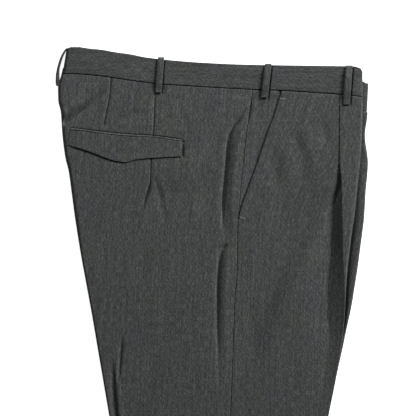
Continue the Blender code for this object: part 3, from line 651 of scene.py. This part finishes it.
jetLine = {
    "across": (19, 32, 44, 58, 84, 99, 122, 142, 162, 167, 230),
    "drop": (105.5, 106.5, 108.2, 110.1, 112.7, 114, 115, 117.3, 120.2, 121.1, 125),
}
jetRow = {"row": 105.9, "above": (60, 100), "below": (116, 170)}  # between these more and more, then less


def backRealDrop(across, row):
    # on the back the rows run along the pocket's jet, too
    lift = curveThrough(jetLine, "across", "drop", across) - realDrop(across, jetRow["row"])
    return realDrop(across, row) + lift * ease(row, *jetRow["above"]) * (1 - ease(row, *jetRow["below"]))


def rightBackPoints(row):
    edge = onRow(backEdge, row, backRealDrop)
    drop = float(backRealDrop(edge, row))
    seam = onRow(sideSeam, row, backRealDrop) - garment["gap"] / 2
    turn, reach, radius = backFold(edge, drop)
    anchors = [edge + reach]
    for key in ("dartBack", "dartSide", "pocketEnd", "hipFold"):
        anchors.append(onRow(alongLine(backLines, "drop", key), row, backRealDrop))
    anchors = np.array(anchors + [seam - edgeOffsets[-1]])
    anchors[-2] = min(anchors[-2], anchors[-1] - rightBack["seamRoom"])
    flat = np.concatenate([stations(anchors, rightBack["columns"])[:-1], seam - edgeOffsets[::-1]])
    top = clothHeight(flat, backRealDrop(flat, row))
    rounding = nose(edge, top[0], radius, turn, reach, rightBack["noseSteps"], -1)
    run = ease(drop, *garment["inseamEase"]) * (inseamAt(drop) - rounding[-1][0])
    inner = turnedIn(rounding[-1], run, rightBack["innerColumns"], garment["backSag"])
    return np.concatenate([inner[::-1], rounding[:0:-1], np.stack([flat, top], 1)])


def makeRightBack():
    rows = legRows(rightBack["rowStep"], rightBack["rows"])
    plain = rightBack["innerColumns"] + rightBack["noseSteps"]
    steps = rightBack["shownSteps"]

    def relief(across, drops):
        shown = np.zeros(across.shape)
        shown[:, plain:] = 1
        shown[:, plain - steps:plain] = np.linspace(0.1, 0.9, steps)
        form = surfaceRelief(across, drops) + grooveHeight(across, drops) + loopBed(across, drops)
        return shown * form

    base = buildGrid(rows, rightBackPoints, backRealDrop, relief)
    columns = base.shape[1]
    columnPlan = [(k, 0.0) for k in range(columns - len(edgeOffsets))]
    columnPlan += turnedColumns(columns - len(edgeOffsets), len(edgeOffsets), False)
    obj = clothPiece("rightBack", base, grainOf(base, columns - 1), legRowPlan(rows), columnPlan)
    return finishPiece(obj, woolTwill, ["right_back_panel"])


rightBackPiece = makeRightBack()
print("right back cut and laid")


# Right front: from the pocket's edge or the side seam over the pleat to the front crease, and in
# to the fly or the inseam

rightFront = {
    "rowStep": 3.0,
    "columns": (48,),
    "noseSteps": 10,
    "stripColumns": 34,  # between the pleat and the crease
    "innerColumns": 10,
    "calm": (24, 8),  # folds fade out between these distances from the pleat
    "level": (2, 6),  # columns beside the pleat that go straight down under the waistband, too
}
pleat = {
    # the pleat's fold, how far its cloth turns there, the depth turned, and how far its strip
    # stands above the garment: folded flat at the waist, opening down the leg
    "drop": (35, 125, 148, 158, 168, 180, 195, 210, 227, 255, 279, 316, 346, 365, 390, 430, 480),
    "fold": (371, 370, 370.2, 370.6, 371, 371.2, 371.3, 371.4, 371.7, 372.3, 373, 374.4, 374.8, 373.2,
             369.6, 362, 353.6),
    "turn": (180, 180, 176, 160, 132, 96, 60, 45, 39, 34, 27, 20, 17.5, 16, 12, 6, 1),
    "depth": (9, 9, 8, 6.2, 5, 5.8, 9.6, 12.3, 13.6, 15.9, 17.6, 21.6, 21.6, 17, 14, 12, 11),
    "rise": (0.5, 0.8, 1.2, 1.4, 1.7, 2.2, 3.1, 3.8, 4.3, 4.6, 4.7, 4.3, 3.4, 2.3, 1.2, 0.4, 0),
    "bend": (0.75, 0.75, 0.75, 0.75, 0.8, 0.85, 1.0, 1.2, 1.5, 1.8, 2.0, 2.4, 3.0, 4.0, 5.0, 8.0, 9.0),
    "sink": (14, 14, 15, 16, 20, 26, 36, 44, 48, 50, 52, 52, 50, 46, 42, 40, 40),
}
pleatFold = {
    "hollow": 2.4,  # the power by which the cloth sinks towards the fold
    "outBend": 1.4,  # the fold's own bend is never wider
    "bends": np.array([0, 0.17, 0.34, 0.5, 0.67, 0.84, 1.0]),
    "depths": np.array([0.2, 0.4, 0.6, 0.8, 1.0]),
    "strip": (2, 0.45),  # its least width, and the part of it that the front crease may round away
    "stripGap": 0.3,
    "soft": 0.6,  # a loop that crosses the fold bends over this width
}


def rightFrontPoints(row):
    start = onRow(frontStart, row, realDrop)
    edge = onRow(frontEdge, row, realDrop)
    drop = float(realDrop(edge, row))
    fold = {key: float(curveThrough(pleat, "drop", key, drop)) for key in pleat if key != "drop"}
    turn, depth = math.radians(fold["turn"]), fold["depth"]
    inBend, outBend = fold["bend"], min(fold["bend"], pleatFold["outBend"])
    step = (inBend + outBend) * (1 - math.cos(turn)) + depth * math.sin(turn)
    thick = float(clothHeight(edge, drop))
    top = thick + fold["rise"]
    radius = (top - thick / 2 - garment["gap"] / 2) / 2
    narrow, share = pleatFold["strip"]
    reach = min(garment["creaseReach"], share * max(edge - fold["fold"], narrow))
    stripStart = fold["fold"] + outBend * math.sin(min(turn, math.pi / 2))
    stripStart = min(stripStart, edge - reach - pleatFold["stripGap"])
    fieldEnd = stripStart - (inBend + outBend) * math.sin(turn) - depth * math.cos(turn)
    if turn > math.pi / 2:
        fieldEnd = stripStart - outBend + (depth - outBend) * -math.cos(turn) - inBend * math.sin(turn)
    field = stations([start + edgeOffsets[-1], fieldEnd], rightFront["columns"])
    field = np.concatenate([start + edgeOffsets[:-1], field])
    near = np.clip(1 - (fieldEnd - field) / fold["sink"], 0, 1)
    dip = (step - fold["rise"]) * near ** pleatFold["hollow"]
    height = clothHeight(field, realDrop(field, row)) - dip
    height[-1] = top - step
    bends = turn * pleatFold["bends"][1:]
    first = np.stack([fieldEnd + inBend * np.sin(bends), height[-1] + inBend * (1 - np.cos(bends))], 1)
    run = first[-1] + pleatFold["depths"][:, None] * depth * np.array([math.cos(turn), math.sin(turn)])
    left = turn * pleatFold["bends"][-2::-1]
    second = np.stack([run[-1][0] + outBend * (math.sin(turn) - np.sin(left)),
                       run[-1][1] + outBend * (np.cos(left) - math.cos(turn))], 1)
    rounding = nose(edge, top, radius, 180, reach, rightFront["noseSteps"], 1)
    strip = np.linspace(second[-1][0], rounding[0][0], rightFront["stripColumns"] + 2)[1:-1]
    strip = np.stack([strip, np.full(len(strip), top)], 1)
    inner = turnedIn(rounding[-1], -tuckedBy(edge, drop), rightFront["innerColumns"], garment["frontSag"])
    return np.concatenate([np.stack([field, height], 1), first, run, second, strip, rounding, inner])


def makeRightFront():
    rows = legRows(rightFront["rowStep"])
    field = len(edgeOffsets) + rightFront["columns"][0] + 1
    stripAt = field + 2 * (len(pleatFold["bends"]) - 1) + len(pleatFold["depths"])
    far, near = rightFront["calm"]

    def relief(across, drops):
        shown = np.zeros(across.shape)
        shown[:, :field] = 1
        foldAt = curveThrough(pleat, "drop", "fold", drops)
        onStrip = np.zeros(across.shape)
        onStrip[:, stripAt:stripAt + rightFront["stripColumns"]] = 1
        creased = shown * surfaceRelief(across, drops) * (1 - ease(across, foldAt - far, foldAt - near))
        return creased + onStrip * loopBed(across, drops)

    base = buildGrid(rows, rightFrontPoints, realDrop, relief)
    columnPlan = turnedColumns(0, len(edgeOffsets), True)
    columnPlan += [(k, 0.0) for k in range(len(edgeOffsets), base.shape[1])]
    level = slice(field - rightFront["level"][0], stripAt + rightFront["level"][1])
    obj = clothPiece("rightFront", base, grainOf(base, 0), legRowPlan(rows), columnPlan, level)
    return finishPiece(obj, woolTwill, ["right_front_panel"])


rightFrontPiece = makeRightFront()
print("right front and its pleat laid")


# The left half lies under the right one: its outer side faces the table

leftHalf = {"rowStep": 6.0, "columns": (26,), "noseSteps": 10, "innerColumns": 10}
lip = {  # how far the left front's crease, which shows at the right, curls up
    "drop": (60, 100, 130, 160, 200, 250, 330, 370, 410, 440),
    "curl": (0.2, 0.4, 0.8, 1.2, 2.6, 4.2, 4.2, 2.8, 0.9, 0),
    "roll": 3.0,  # the power of its rise: flat at the crease, steep at the right front
    "reach": 1.8,
    "narrowest": 3,
    "columns": np.array([0.8, 1.8, 3, 4.5, 6, 8, 10, 12.5, 15.5]),  # from the crease, inwards
    "innerColumns": 8,
}


def leftRealDrop(across, row):
    return realDrop(across, row, True)


def leftFrontPoints(row):
    edge = onRow(leftFrontEdge, row, leftRealDrop)
    seam = onRow(sideSeam, row, leftRealDrop) + garment["gap"] / 2
    drop = float(leftRealDrop(edge, row))
    low = float(clothHeight(edge, drop)) / 2 - garment["gap"] / 2
    curl = float(curveThrough(lip, "drop", "curl", drop))
    top = low + curl
    rounding = nose(edge, top, top / 2, 180, lip["reach"], leftHalf["noseSteps"], 1)
    last = lip["columns"][-1]
    inside = tuckedBy(edge, drop) - garment["gap"] / 2 - last
    parts = np.arange(1, lip["innerColumns"] + 1) / lip["innerColumns"]
    back = np.concatenate([lip["columns"], last + inside * parts])[::-1]
    inner = rounding[0][0] - back
    room = max(rounding[0][0] - onRow(frontEdge, row, realDrop), lip["narrowest"])
    sag = curl * np.clip(back / room, 0, 1) ** lip["roll"]
    sag = sag + garment["frontSag"] * np.clip((back - room) / garment["sagReach"], 0, 1)
    under = stations([seam, rounding[-1][0]], leftHalf["columns"])[::-1][1:]
    return np.concatenate([np.stack([inner, top - sag], 1), rounding, np.stack([under, 0 * under], 1)])


def leftBackPoints(row):
    edge = onRow(backEdge, row, leftRealDrop)
    seam = onRow(sideSeam, row, leftRealDrop) - garment["gap"] / 2
    drop = float(leftRealDrop(edge, row))
    turn, reach, radius = backFold(edge, drop)
    rounding = nose(edge, 0, radius, turn, reach, leftHalf["noseSteps"], -1)
    rounding[:, 1] = -rounding[:, 1]
    run = ease(drop, *garment["inseamEase"]) * (inseamAt(drop) - garment["gap"] / 2 - rounding[-1][0])
    inner = turnedIn(rounding[-1], run, leftHalf["innerColumns"], garment["backSag"])
    under = stations([rounding[0][0], seam], leftHalf["columns"])[::-1][:-1]
    return np.concatenate([np.stack([under, 0 * under], 1), rounding, inner])


def makeLeftHalf(name, points, node):
    rows = legRows(leftHalf["rowStep"])
    base = buildGrid(rows, points, leftRealDrop, lambda across, drops: 0)
    columns = base.shape[1]
    grain = grainOf(base, 0 if name == "leftBack" else columns - 1)
    obj = clothPiece(name, base, grain, legRowPlan(rows), [(k, 0.0) for k in range(columns)])
    return finishPiece(obj, woolTwill, [node])


leftFrontPiece = makeLeftHalf("leftFront", leftFrontPoints, "left_front_panel")
leftBackPiece = makeLeftHalf("leftBack", leftBackPoints, "folded_under_layers")
print("left half laid under the right one")


# Slant pocket: its facing, from the side seam in under the front's turned edge

facing = {
    "rowStep": 3.0,
    "foot": 216,  # its last row lies above this
    "parts": (0.29, 0.56),
    "columns": (5, 5, 7, 10),
    "lap": 22.0,
    "narrowest": 1.6,
    "sunk": 1.9,
    "start": 0.5,  # it begins to sink this far from the side seam
    "edge": 1.5,  # and is down this far before the slant edge
    "steep": 5,  # but near the waistband it only sinks this close to that
    "nearBand": (1, 26),
    "rises": (222, 236),  # and it comes up again between these
    "turned": ((0, 0.8), (0, 0.4), (1, 0.2), (2, 0.06)),  # column of its edge, depth
}


def facingZone(across, drop):
    # 1 where the slant pocket lets its facing show or covers it
    slant, seam = slantEdge(drop), sideSeam(drop)
    high = np.maximum(slant - facing["edge"], seam + facing["edge"])
    first, last = facing["nearBand"]
    nearBand = 1 - ease(drop, bandSeam(across) + first, bandSeam(across) + last)
    low = seam + facing["start"] + np.maximum(high - facing["steep"] - seam, 0) * nearBand
    return ease(across, low, high) * (1 - ease(drop, *facing["rises"]))


def facingPoints(row):
    start = onRow(sideSeam, row, realDrop) + garment["gap"] / 2
    slant = max(onRow(frontStart, row, realDrop), start + facing["narrowest"])
    first = start + edgeOffsets[3]
    inner = [first + (slant - first) * part for part in facing["parts"]]
    flat = stations([first] + inner + [slant, slant + facing["lap"]], facing["columns"])
    across = np.concatenate([start + edgeOffsets[:3], flat])
    drops = realDrop(across, row)
    return np.stack([across, clothHeight(across, drops) - facing["sunk"] * facingZone(across, drops)], 1)


def makeFacing():
    rows = np.array([row for row in legRows(facing["rowStep"]) if row < facing["foot"]])
    base = buildGrid(rows, facingPoints, realDrop, lambda a, d: surfaceRelief(a, d) + loopBed(a, d))
    rowPlan = list(enumerate(waistDepths)) + [(k, 0.0) for k in range(len(waistDepths), len(rows))]
    columnPlan = list(facing["turned"]) + [(k, 0.0) for k in range(3, base.shape[1])]
    obj = clothPiece("pocketFacing", base, grainOf(base, 0), rowPlan, columnPlan)
    return finishPiece(obj, woolTwillFacingShaded, ["right_pocket_facing"])


facingPiece = makeFacing()
print("slant pocket faced")


# Pieces that lie on the panels: the back pocket's jet and flap, the waistbands and the belt loops

rimOffsets = np.array([0, 0.12, 0.4, 0.85, 1.6])  # from a rounded edge, inwards


def rimDrop(distance, radius):
    distance = np.clip(distance, 0, radius)
    return radius - np.sqrt(np.maximum(radius**2 - (radius - distance) ** 2, 0))


def rimmed(length, count):
    # places along a length, close together towards both ends
    offsets = np.minimum(rimOffsets, length * 0.4)  # closer to the edge on a narrow piece
    inside = np.linspace(offsets[-1], length - offsets[-1], count + 2)[1:-1]
    return np.concatenate([offsets, inside, length - offsets[::-1]])


def distances(across, drops, axis):
    # how far each point lies from the first one, down or along
    first = across[:1], drops[:1]
    if axis == 1:
        first = across[:, :1], drops[:, :1]
    steps = [np.diff(values, axis=axis, prepend=start) for values, start in zip((across, drops), first)]
    return np.cumsum(np.hypot(*steps), axis=axis)


def layPiece(name, across, drops, base, wall, radius, grain):
    # a flat piece with rounded edges on top of the others
    down, along = distances(across, drops, 0), distances(across, drops, 1)
    far = np.minimum.reduce([down, down[-1:] - down, along, along[:, -1:] - along])
    middle = place(across, drops, base + wall / 2)
    up = gridNormals(middle)
    half = wall / 2 - np.minimum(rimDrop(far, radius), wall * 0.46)  # the edge keeps a little depth
    return closeGrids(name, middle + up * half[..., None], middle - up * half[..., None], grain)


pocket = {
    "left": 19.6,
    "right": 163.9,
    "jet": {
        "height": 1.9,
        "narrower": 0.06,  # at its right end
        "below": 0.45,  # the jet's line
        "sunk": 0.3,
        "wall": 0.75,
        "radius": 0.45,
        "rows": 3,
        "columns": 60,
    },
    "flap": {
        "part": (0, 0.2, 0.44, 0.5, 0.6, 0.75, 1),
        "depth": (19.3, 24.8, 33.4, 33.9, 29.5, 26.2, 19.4),
        "left": (19.0, 14.6),  # at its top and at its lower corner
        "below": 3.0,  # the jet's line
        "closer": 0.3,  # and this much less at the right
        "wall": 1.15,
        "radius": 0.6,
        "lift": 0.12,
        "tucked": 0.8,
        "curl": 0.18,
        "sewnEnd": 0.1,  # the part of its length in which its left end comes free
        "curlFrom": 0.35,  # the part of its depth below which its lower edge curls up
        "uneven": (0.75, 0.25, 9.0, 0.6),  # middle, swing, rate and phase of the curl along it
        "length": 30.0,  # for which its rows are spaced
        "rows": 12,
        "columns": 54,
    },
}


def makeJet():
    shape = pocket["jet"]
    along = pocket["left"] + rimmed(pocket["right"] - pocket["left"], shape["columns"])
    down = rimmed(shape["height"], shape["rows"])
    across = np.tile(along, (len(down), 1))
    narrow = 1 - shape["narrower"] * (along - along[0]) / (along[-1] - along[0])
    top = curveThrough(jetLine, "across", "drop", across) + shape["below"]
    drops = top + down[:, None] * narrow[None, :]
    base = clothHeight(across, drops) + surfaceRelief(across, drops) - shape["sunk"]
    grain = np.stack([drops, across], -1)
    obj = layPiece("pocketJet", across, drops, base, shape["wall"], shape["radius"], grain)
    return finishPiece(obj, woolTwill, ["back_pocket_welt"])


def makeFlap():
    shape = pocket["flap"]
    parts = rimmed(pocket["right"] - pocket["left"], shape["columns"])
    parts = parts / parts[-1]
    depth = curveThrough(shape, "part", "depth", parts)
    down = rimmed(shape["length"], shape["rows"])[:, None] / shape["length"]
    high, low = shape["left"]
    left = high + (low - high) * down
    across = left + (pocket["right"] - left) * parts[None, :]
    top = curveThrough(jetLine, "across", "drop", across[0]) + shape["below"] - shape["closer"] * parts
    drops = top[None, :] + depth[None, :] * down
    # its left end is sewn down, and its lower edge curls up a little, unevenly
    middle, swing, rate, phase = shape["uneven"]
    free = ease(parts, 0.0, shape["sewnEnd"])[None, :]
    uneven = middle + swing * np.sin(parts * rate + phase)
    curl = free * shape["curl"] * ease(down, shape["curlFrom"], 1.0) * uneven[None, :]
    lift = shape["lift"] - shape["tucked"] * (1 - free) + curl
    base = clothHeight(across, drops) + surfaceRelief(across, drops) + lift
    grain = np.stack([across, garment["length"] - drops], -1)
    obj = layPiece("pocketFlap", across, drops, base, shape["wall"], shape["radius"], grain)
    return finishPiece(obj, woolTwill, ["back_pocket_flap"])


jetPiece = makeJet()
flapPiece = makeFlap()
print("back pocket flap and jetting laid")

band = {
    "rise": 0.6,  # above the panels
    "backTop": 14.2,  # where its top and its seam turn over at the back
    "backSeam": 8.8,
    "leftLean": 1.9,  # the left band's front end leans back by this much at its seam
    "rows": np.array([0, 0.2, 0.6, 1.2, 2.2, 5, 9, 13, 17.5, 22, 26, 29.5, 32.3, 33.3, 33.9, 34.3, 34.5]),
    "edgeRadius": 1.06,
    "noseSteps": 8,
    "columns": 64,
    "frontSteps": 11,
    "tuckColumns": 5,
    "besideLoops": (7, 0.55),  # closer columns this far beside each loop, and how close
    "overSeam": 0.1,  # its lower edge stays this far above the waist seam
}


def bandHeight(across):
    inside = np.clip(across, 0, garment["width"])
    return clothHeight(inside, bandSeam(inside)) + band["rise"]


def bandRow(part, front, left):
    back = band["backTop"] + (band["backSeam"] - band["backTop"]) * part
    reach = garment["seatReach"]
    top = float(bandHeight(back + reach))
    radius = top / 2 - garment["gap"] / 2
    around = nose(back, 0 if left else top, radius, 90, reach, band["noseSteps"], -1)
    turn = garment["bandWall"] + garment["gap"]
    run = np.linspace(back + reach, front - turn, band["columns"])[1:]
    if not left:
        far, step = band["besideLoops"]
        for plan in loops.values():
            ends = plan["top"], plan["bottom"]
            run = np.concatenate([run, np.arange(min(ends) - far, max(ends) + far, step)])
        run = np.sort(run)
    level = np.zeros(len(run)) if left else bandHeight(run)
    angles = np.radians(np.linspace(0, 180, band["frontSteps"]))[1:]
    rounding = np.stack([front - turn + turn * np.sin(angles), level[-1] - turn * (1 - np.cos(angles))], 1)
    count = band["tuckColumns"]
    inward = front - turn - garment["tuck"] * np.arange(1, count + 1) / count
    inward = np.stack([inward, np.full(count, rounding[-1][1])], 1)
    points = np.concatenate([around[::-1], np.stack([run, level], 1), rounding, inward])
    if left:
        points[:, 1] = -points[:, 1]
    return points


def makeBand(name, left, node):
    rows, deep = band["rows"], band["rows"][-1]
    first, last = bandTopLine["across"][0], bandTopLine["across"][-1]
    grid, beds = [], []
    for part in rows / deep:
        front = garment["width"] - band["leftLean"] * part if left else last
        across, height = bandRow(part, front, left).T
        inside = np.clip(across, first, last)
        shift = leftShift(inside) if left else 0
        top = bandTop(inside) + shift * garment["leftTop"] / garment["leftDrop"]
        drops = top + (bandSeam(inside) + shift - band["overSeam"] - top) * part
        wave = 0 if left else waveHeight(across, drops, *bandWave)
        grid.append(place(across, drops, height + wave))
        upper = 0 if left else height > 0.8 * height.max()
        beds.append(loopBed(across, drops) * upper)
    grid = np.array(grid)
    up = gridNormals(grid) * (-1 if left else 1)
    bed = np.array(beds)[..., None]
    soft = rimDrop(np.minimum(rows, deep - rows), band["edgeRadius"])[:, None, None]
    grain = np.stack([grid[..., 1], arcLengths(grid, 0)], -1)
    obj = closeGrids(name, grid - up * (soft - bed), grid - up * (garment["bandWall"] - soft), grain)
    return finishPiece(obj, woolTwillBandShaded, [node])


bandRightPiece = makeBand("waistbandRight", False, "waistband_right")
bandLeftPiece = makeBand("waistbandLeft", True, "waistband_left")
print("waistband on")

loopShape = {
    "rows": 24,
    "columns": 9,
    "wall": 1.75,
    "radius": 0.8,
    "lift": 0.12,
    "archEnds": ((0.03, 0.3), (0.6, 0.95)),  # parts of its length in which it rises and falls
    "stitch": {"in": 1.4, "deep": 0.22, "reach": 0.35},
    "over": {"deep": 2.6, "length": 2.4},  # its top end goes over the waistband's edge
    "down": (-1, 7),  # it comes down from the waistband to the panel here, counted from the seam
}
centreLoop = {
    "drop": (1.6, 7, 15, 24, 30, 37, 45, 50.5),
    "across": (13.4, 9.6, 5.7, 2.9, 1.4, 0.3, 0.0, 0.6),
    "wall": (2.4, 2.6, 2.9, 3.0, 3.4, 4.5, 4.9, 3.4),
    "height": (0.25, 8.45),
    "rows": 22,
    "columns": 7,
    "radius": 0.75,
}


def panelHeight(across, drop):
    # the upper side near the waist, with the pleat's strip
    strip = ease(across, pleat["fold"][0] - pleatFold["soft"], pleat["fold"][0])
    return clothHeight(across, drop) + surfaceRelief(across, drop) * (1 - strip) + pleat["rise"][0] * strip


def makeLoop(key):
    plan, stitch, over = loops[key], loopShape["stitch"], loopShape["over"]
    start = float(bandTop(plan["top"])) - plan["above"]
    end = float(bandSeam(plan["bottom"])) + plan["below"]
    down = rimmed(end - start, loopShape["rows"])[:, None]
    beside = rimmed(plan["width"], loopShape["columns"])[None, :] - plan["width"] / 2
    part = down / down[-1]
    across = plan["top"] + (plan["bottom"] - plan["top"]) * part + beside
    drops = start + down + 0 * across
    middle = (plan["top"] + plan["bottom"]) / 2
    seam = float(bandSeam(middle))
    first, last = loopShape["down"]
    onBand = float(bandHeight(middle))
    onPanel = panelHeight(across, drops).max(axis=1, keepdims=True)
    base = onBand + (onPanel - onBand) * ease(drops, seam + first, seam + last)
    rise, fall = loopShape["archEnds"]
    arch = plan["arch"] * ease(part, *rise) * (1 - ease(part, *fall))
    inward = plan["width"] / 2 - np.abs(beside) - stitch["in"]
    sewn = stitch["deep"] * np.exp(-((inward / stitch["reach"]) ** 2))
    turned = over["deep"] * (1 - ease(down, 0, over["length"])) ** 2
    base = base + loopShape["lift"] + arch - sewn - turned
    grain = np.stack([across, garment["length"] - drops], -1)
    name = "beltLoop" + key.capitalize()
    obj = layPiece(name, across, drops, base, loopShape["wall"], loopShape["radius"], grain)
    return finishPiece(obj, woolTwillBandShaded, [plan["node"]])


def makeCentreLoop():
    top, foot = centreLoop["drop"][0], centreLoop["drop"][-1]
    low, high = centreLoop["height"]
    down = rimmed(foot - top, centreLoop["rows"]) + top
    up = rimmed(high - low, centreLoop["columns"]) + low
    drops, heights = np.meshgrid(down, up, indexing="ij")
    outer = curveThrough(centreLoop, "drop", "across", drops)
    wall = curveThrough(centreLoop, "drop", "wall", drops)
    far = np.minimum.reduce([drops - down[0], down[-1] - drops, heights - up[0], up[-1] - heights])
    soft = rimDrop(far, centreLoop["radius"])
    grain = np.stack([heights, garment["length"] - drops], -1)
    sides = [place(across, drops, heights) for across in (outer + soft, outer + wall - soft)]
    obj = closeGrids("beltLoopCentreBack", *sides, grain)
    return finishPiece(obj, woolTwillBandShaded, ["belt_loop_centre_back"])


loopPieces = {key: makeLoop(key) for key in loops}
centreLoopPiece = makeCentreLoop()
print("belt loops on")


# Bar tacks at the two ends of the slant pocket

tack = {
    "thread": 0.5,
    "sides": 8,
    "length": 2.0,
    "pitch": 0.62,
    "above": 0.18,
    "barTackTop": ((291.6, 67.3), (298.2, 67.6)),
    "barTackFoot": ((239.6, 221.0), (245.6, 223.3)),
}
threadLook = {"Base Color": linear("#767978"), "Roughness": 0.6, "Sheen Weight": 0.1}
# twisted polyester sewing thread, a pale grey with a faint sheen against the cloth
thread = newMaterial("polyesterThread", threadLook)[0]


def makeTack(name):
    first, last = tack[name]
    count = int(math.dist(first, last) / tack["pitch"])
    lean = math.atan2(-(last[1] - first[1]), last[0] - first[0])
    threads = []
    for k in range(count + 1):
        across = first[0] + (last[0] - first[0]) * k / count
        drop = first[1] + (last[1] - first[1]) * k / count
        height = float(clothHeight(across, drop) + surfaceRelief(across, drop)) + tack["above"]
        spot = place(across, drop, height) * mm
        bpy.ops.object.select_all(action="DESELECT")
        bpy.ops.mesh.primitive_cylinder_add(
            vertices=tack["sides"], radius=tack["thread"] / 2 * mm, depth=tack["length"] * mm,
            location=tuple(spot), rotation=(math.pi / 2, 0, lean),
        )
        threads.append(bpy.context.object)
    for piece in threads:
        piece.select_set(True)
    bpy.ops.object.join()
    bpy.ops.object.transform_apply(location=True, rotation=True, scale=True)
    bpy.context.object.name = name
    return finishPiece(bpy.context.object, thread)


makeTack("barTackTop")
makeTack("barTackFoot")
print("bar tacks sewn")


# Light, floor and camera

studio = {
    "view": {"width": 540.8, "middle": (198.0, 209.2, 4.5), "distance": 2800.0, "sensor": 36.0},
    "lights": {
        "keySoftbox": {"turn": 38.0, "rise": 23.0, "distance": 4500.0, "size": 1230.0, "power": 346.0},
        "fillSoftbox": {"turn": 98.0, "rise": 26.0, "distance": 1400.0, "size": 500.0, "power": 8.0},
    },
    "sky": 0.06,
    "table": {"size": 12000.0, "below": 0.3},
}


def makeStudio():
    view = studio["view"]
    middle = place(*view["middle"]) * mm
    eye = bpy.data.cameras.new("camera")
    eye.sensor_width = view["sensor"]
    eye.lens = view["sensor"] * view["distance"] / view["width"]
    camera = bpy.data.objects.new("camera", eye)
    camera.location = (middle[0], middle[1], middle[2] + view["distance"] * mm)
    bpy.context.collection.objects.link(camera)
    bpy.context.scene.camera = camera
    for name, light in studio["lights"].items():
        lamp = bpy.data.lights.new(name, "AREA")
        lamp.shape = "SQUARE"
        lamp.size = light["size"] * mm
        lamp.energy = light["power"]
        softbox = bpy.data.objects.new(name, lamp)
        turn, rise = math.radians(light["turn"]), math.radians(light["rise"])
        away = np.array([math.cos(turn) * math.cos(rise), math.sin(turn) * math.cos(rise), math.sin(rise)])
        softbox.location = middle + away * light["distance"] * mm
        softbox.rotation_euler = (math.pi / 2 - rise, 0, turn + math.pi / 2)
        bpy.context.collection.objects.link(softbox)
    world = bpy.data.worlds.new("studio")
    world.use_nodes = True
    sky = world.node_tree.nodes["Background"]
    sky.inputs["Color"].default_value = (1, 1, 1, 1)
    sky.inputs["Strength"].default_value = studio["sky"]
    bpy.context.scene.world = world
    bpy.context.scene.view_settings.view_transform = "Standard"


def makeFloor():
    table = studio["table"]
    bpy.ops.mesh.primitive_plane_add(size=table["size"] * mm, location=(0, 0, -table["below"] * mm))
    floor = bpy.context.object
    floor.name = "floor"
    # a table painted matt white, which glows a little so that it shows even and pale all over
    look = {"Base Color": linear("#f6f6f6"), "Roughness": 0.9, "Specular IOR Level": 0.1,
            "Emission Color": (1, 1, 1, 1), "Emission Strength": 0.93}
    floor.data.materials.append(newMaterial("whitePaintedTable", look)[0])
    floor.visible_diffuse = False  # it throws no light up on the cloth


makeStudio()
makeFloor()
print("studio set")
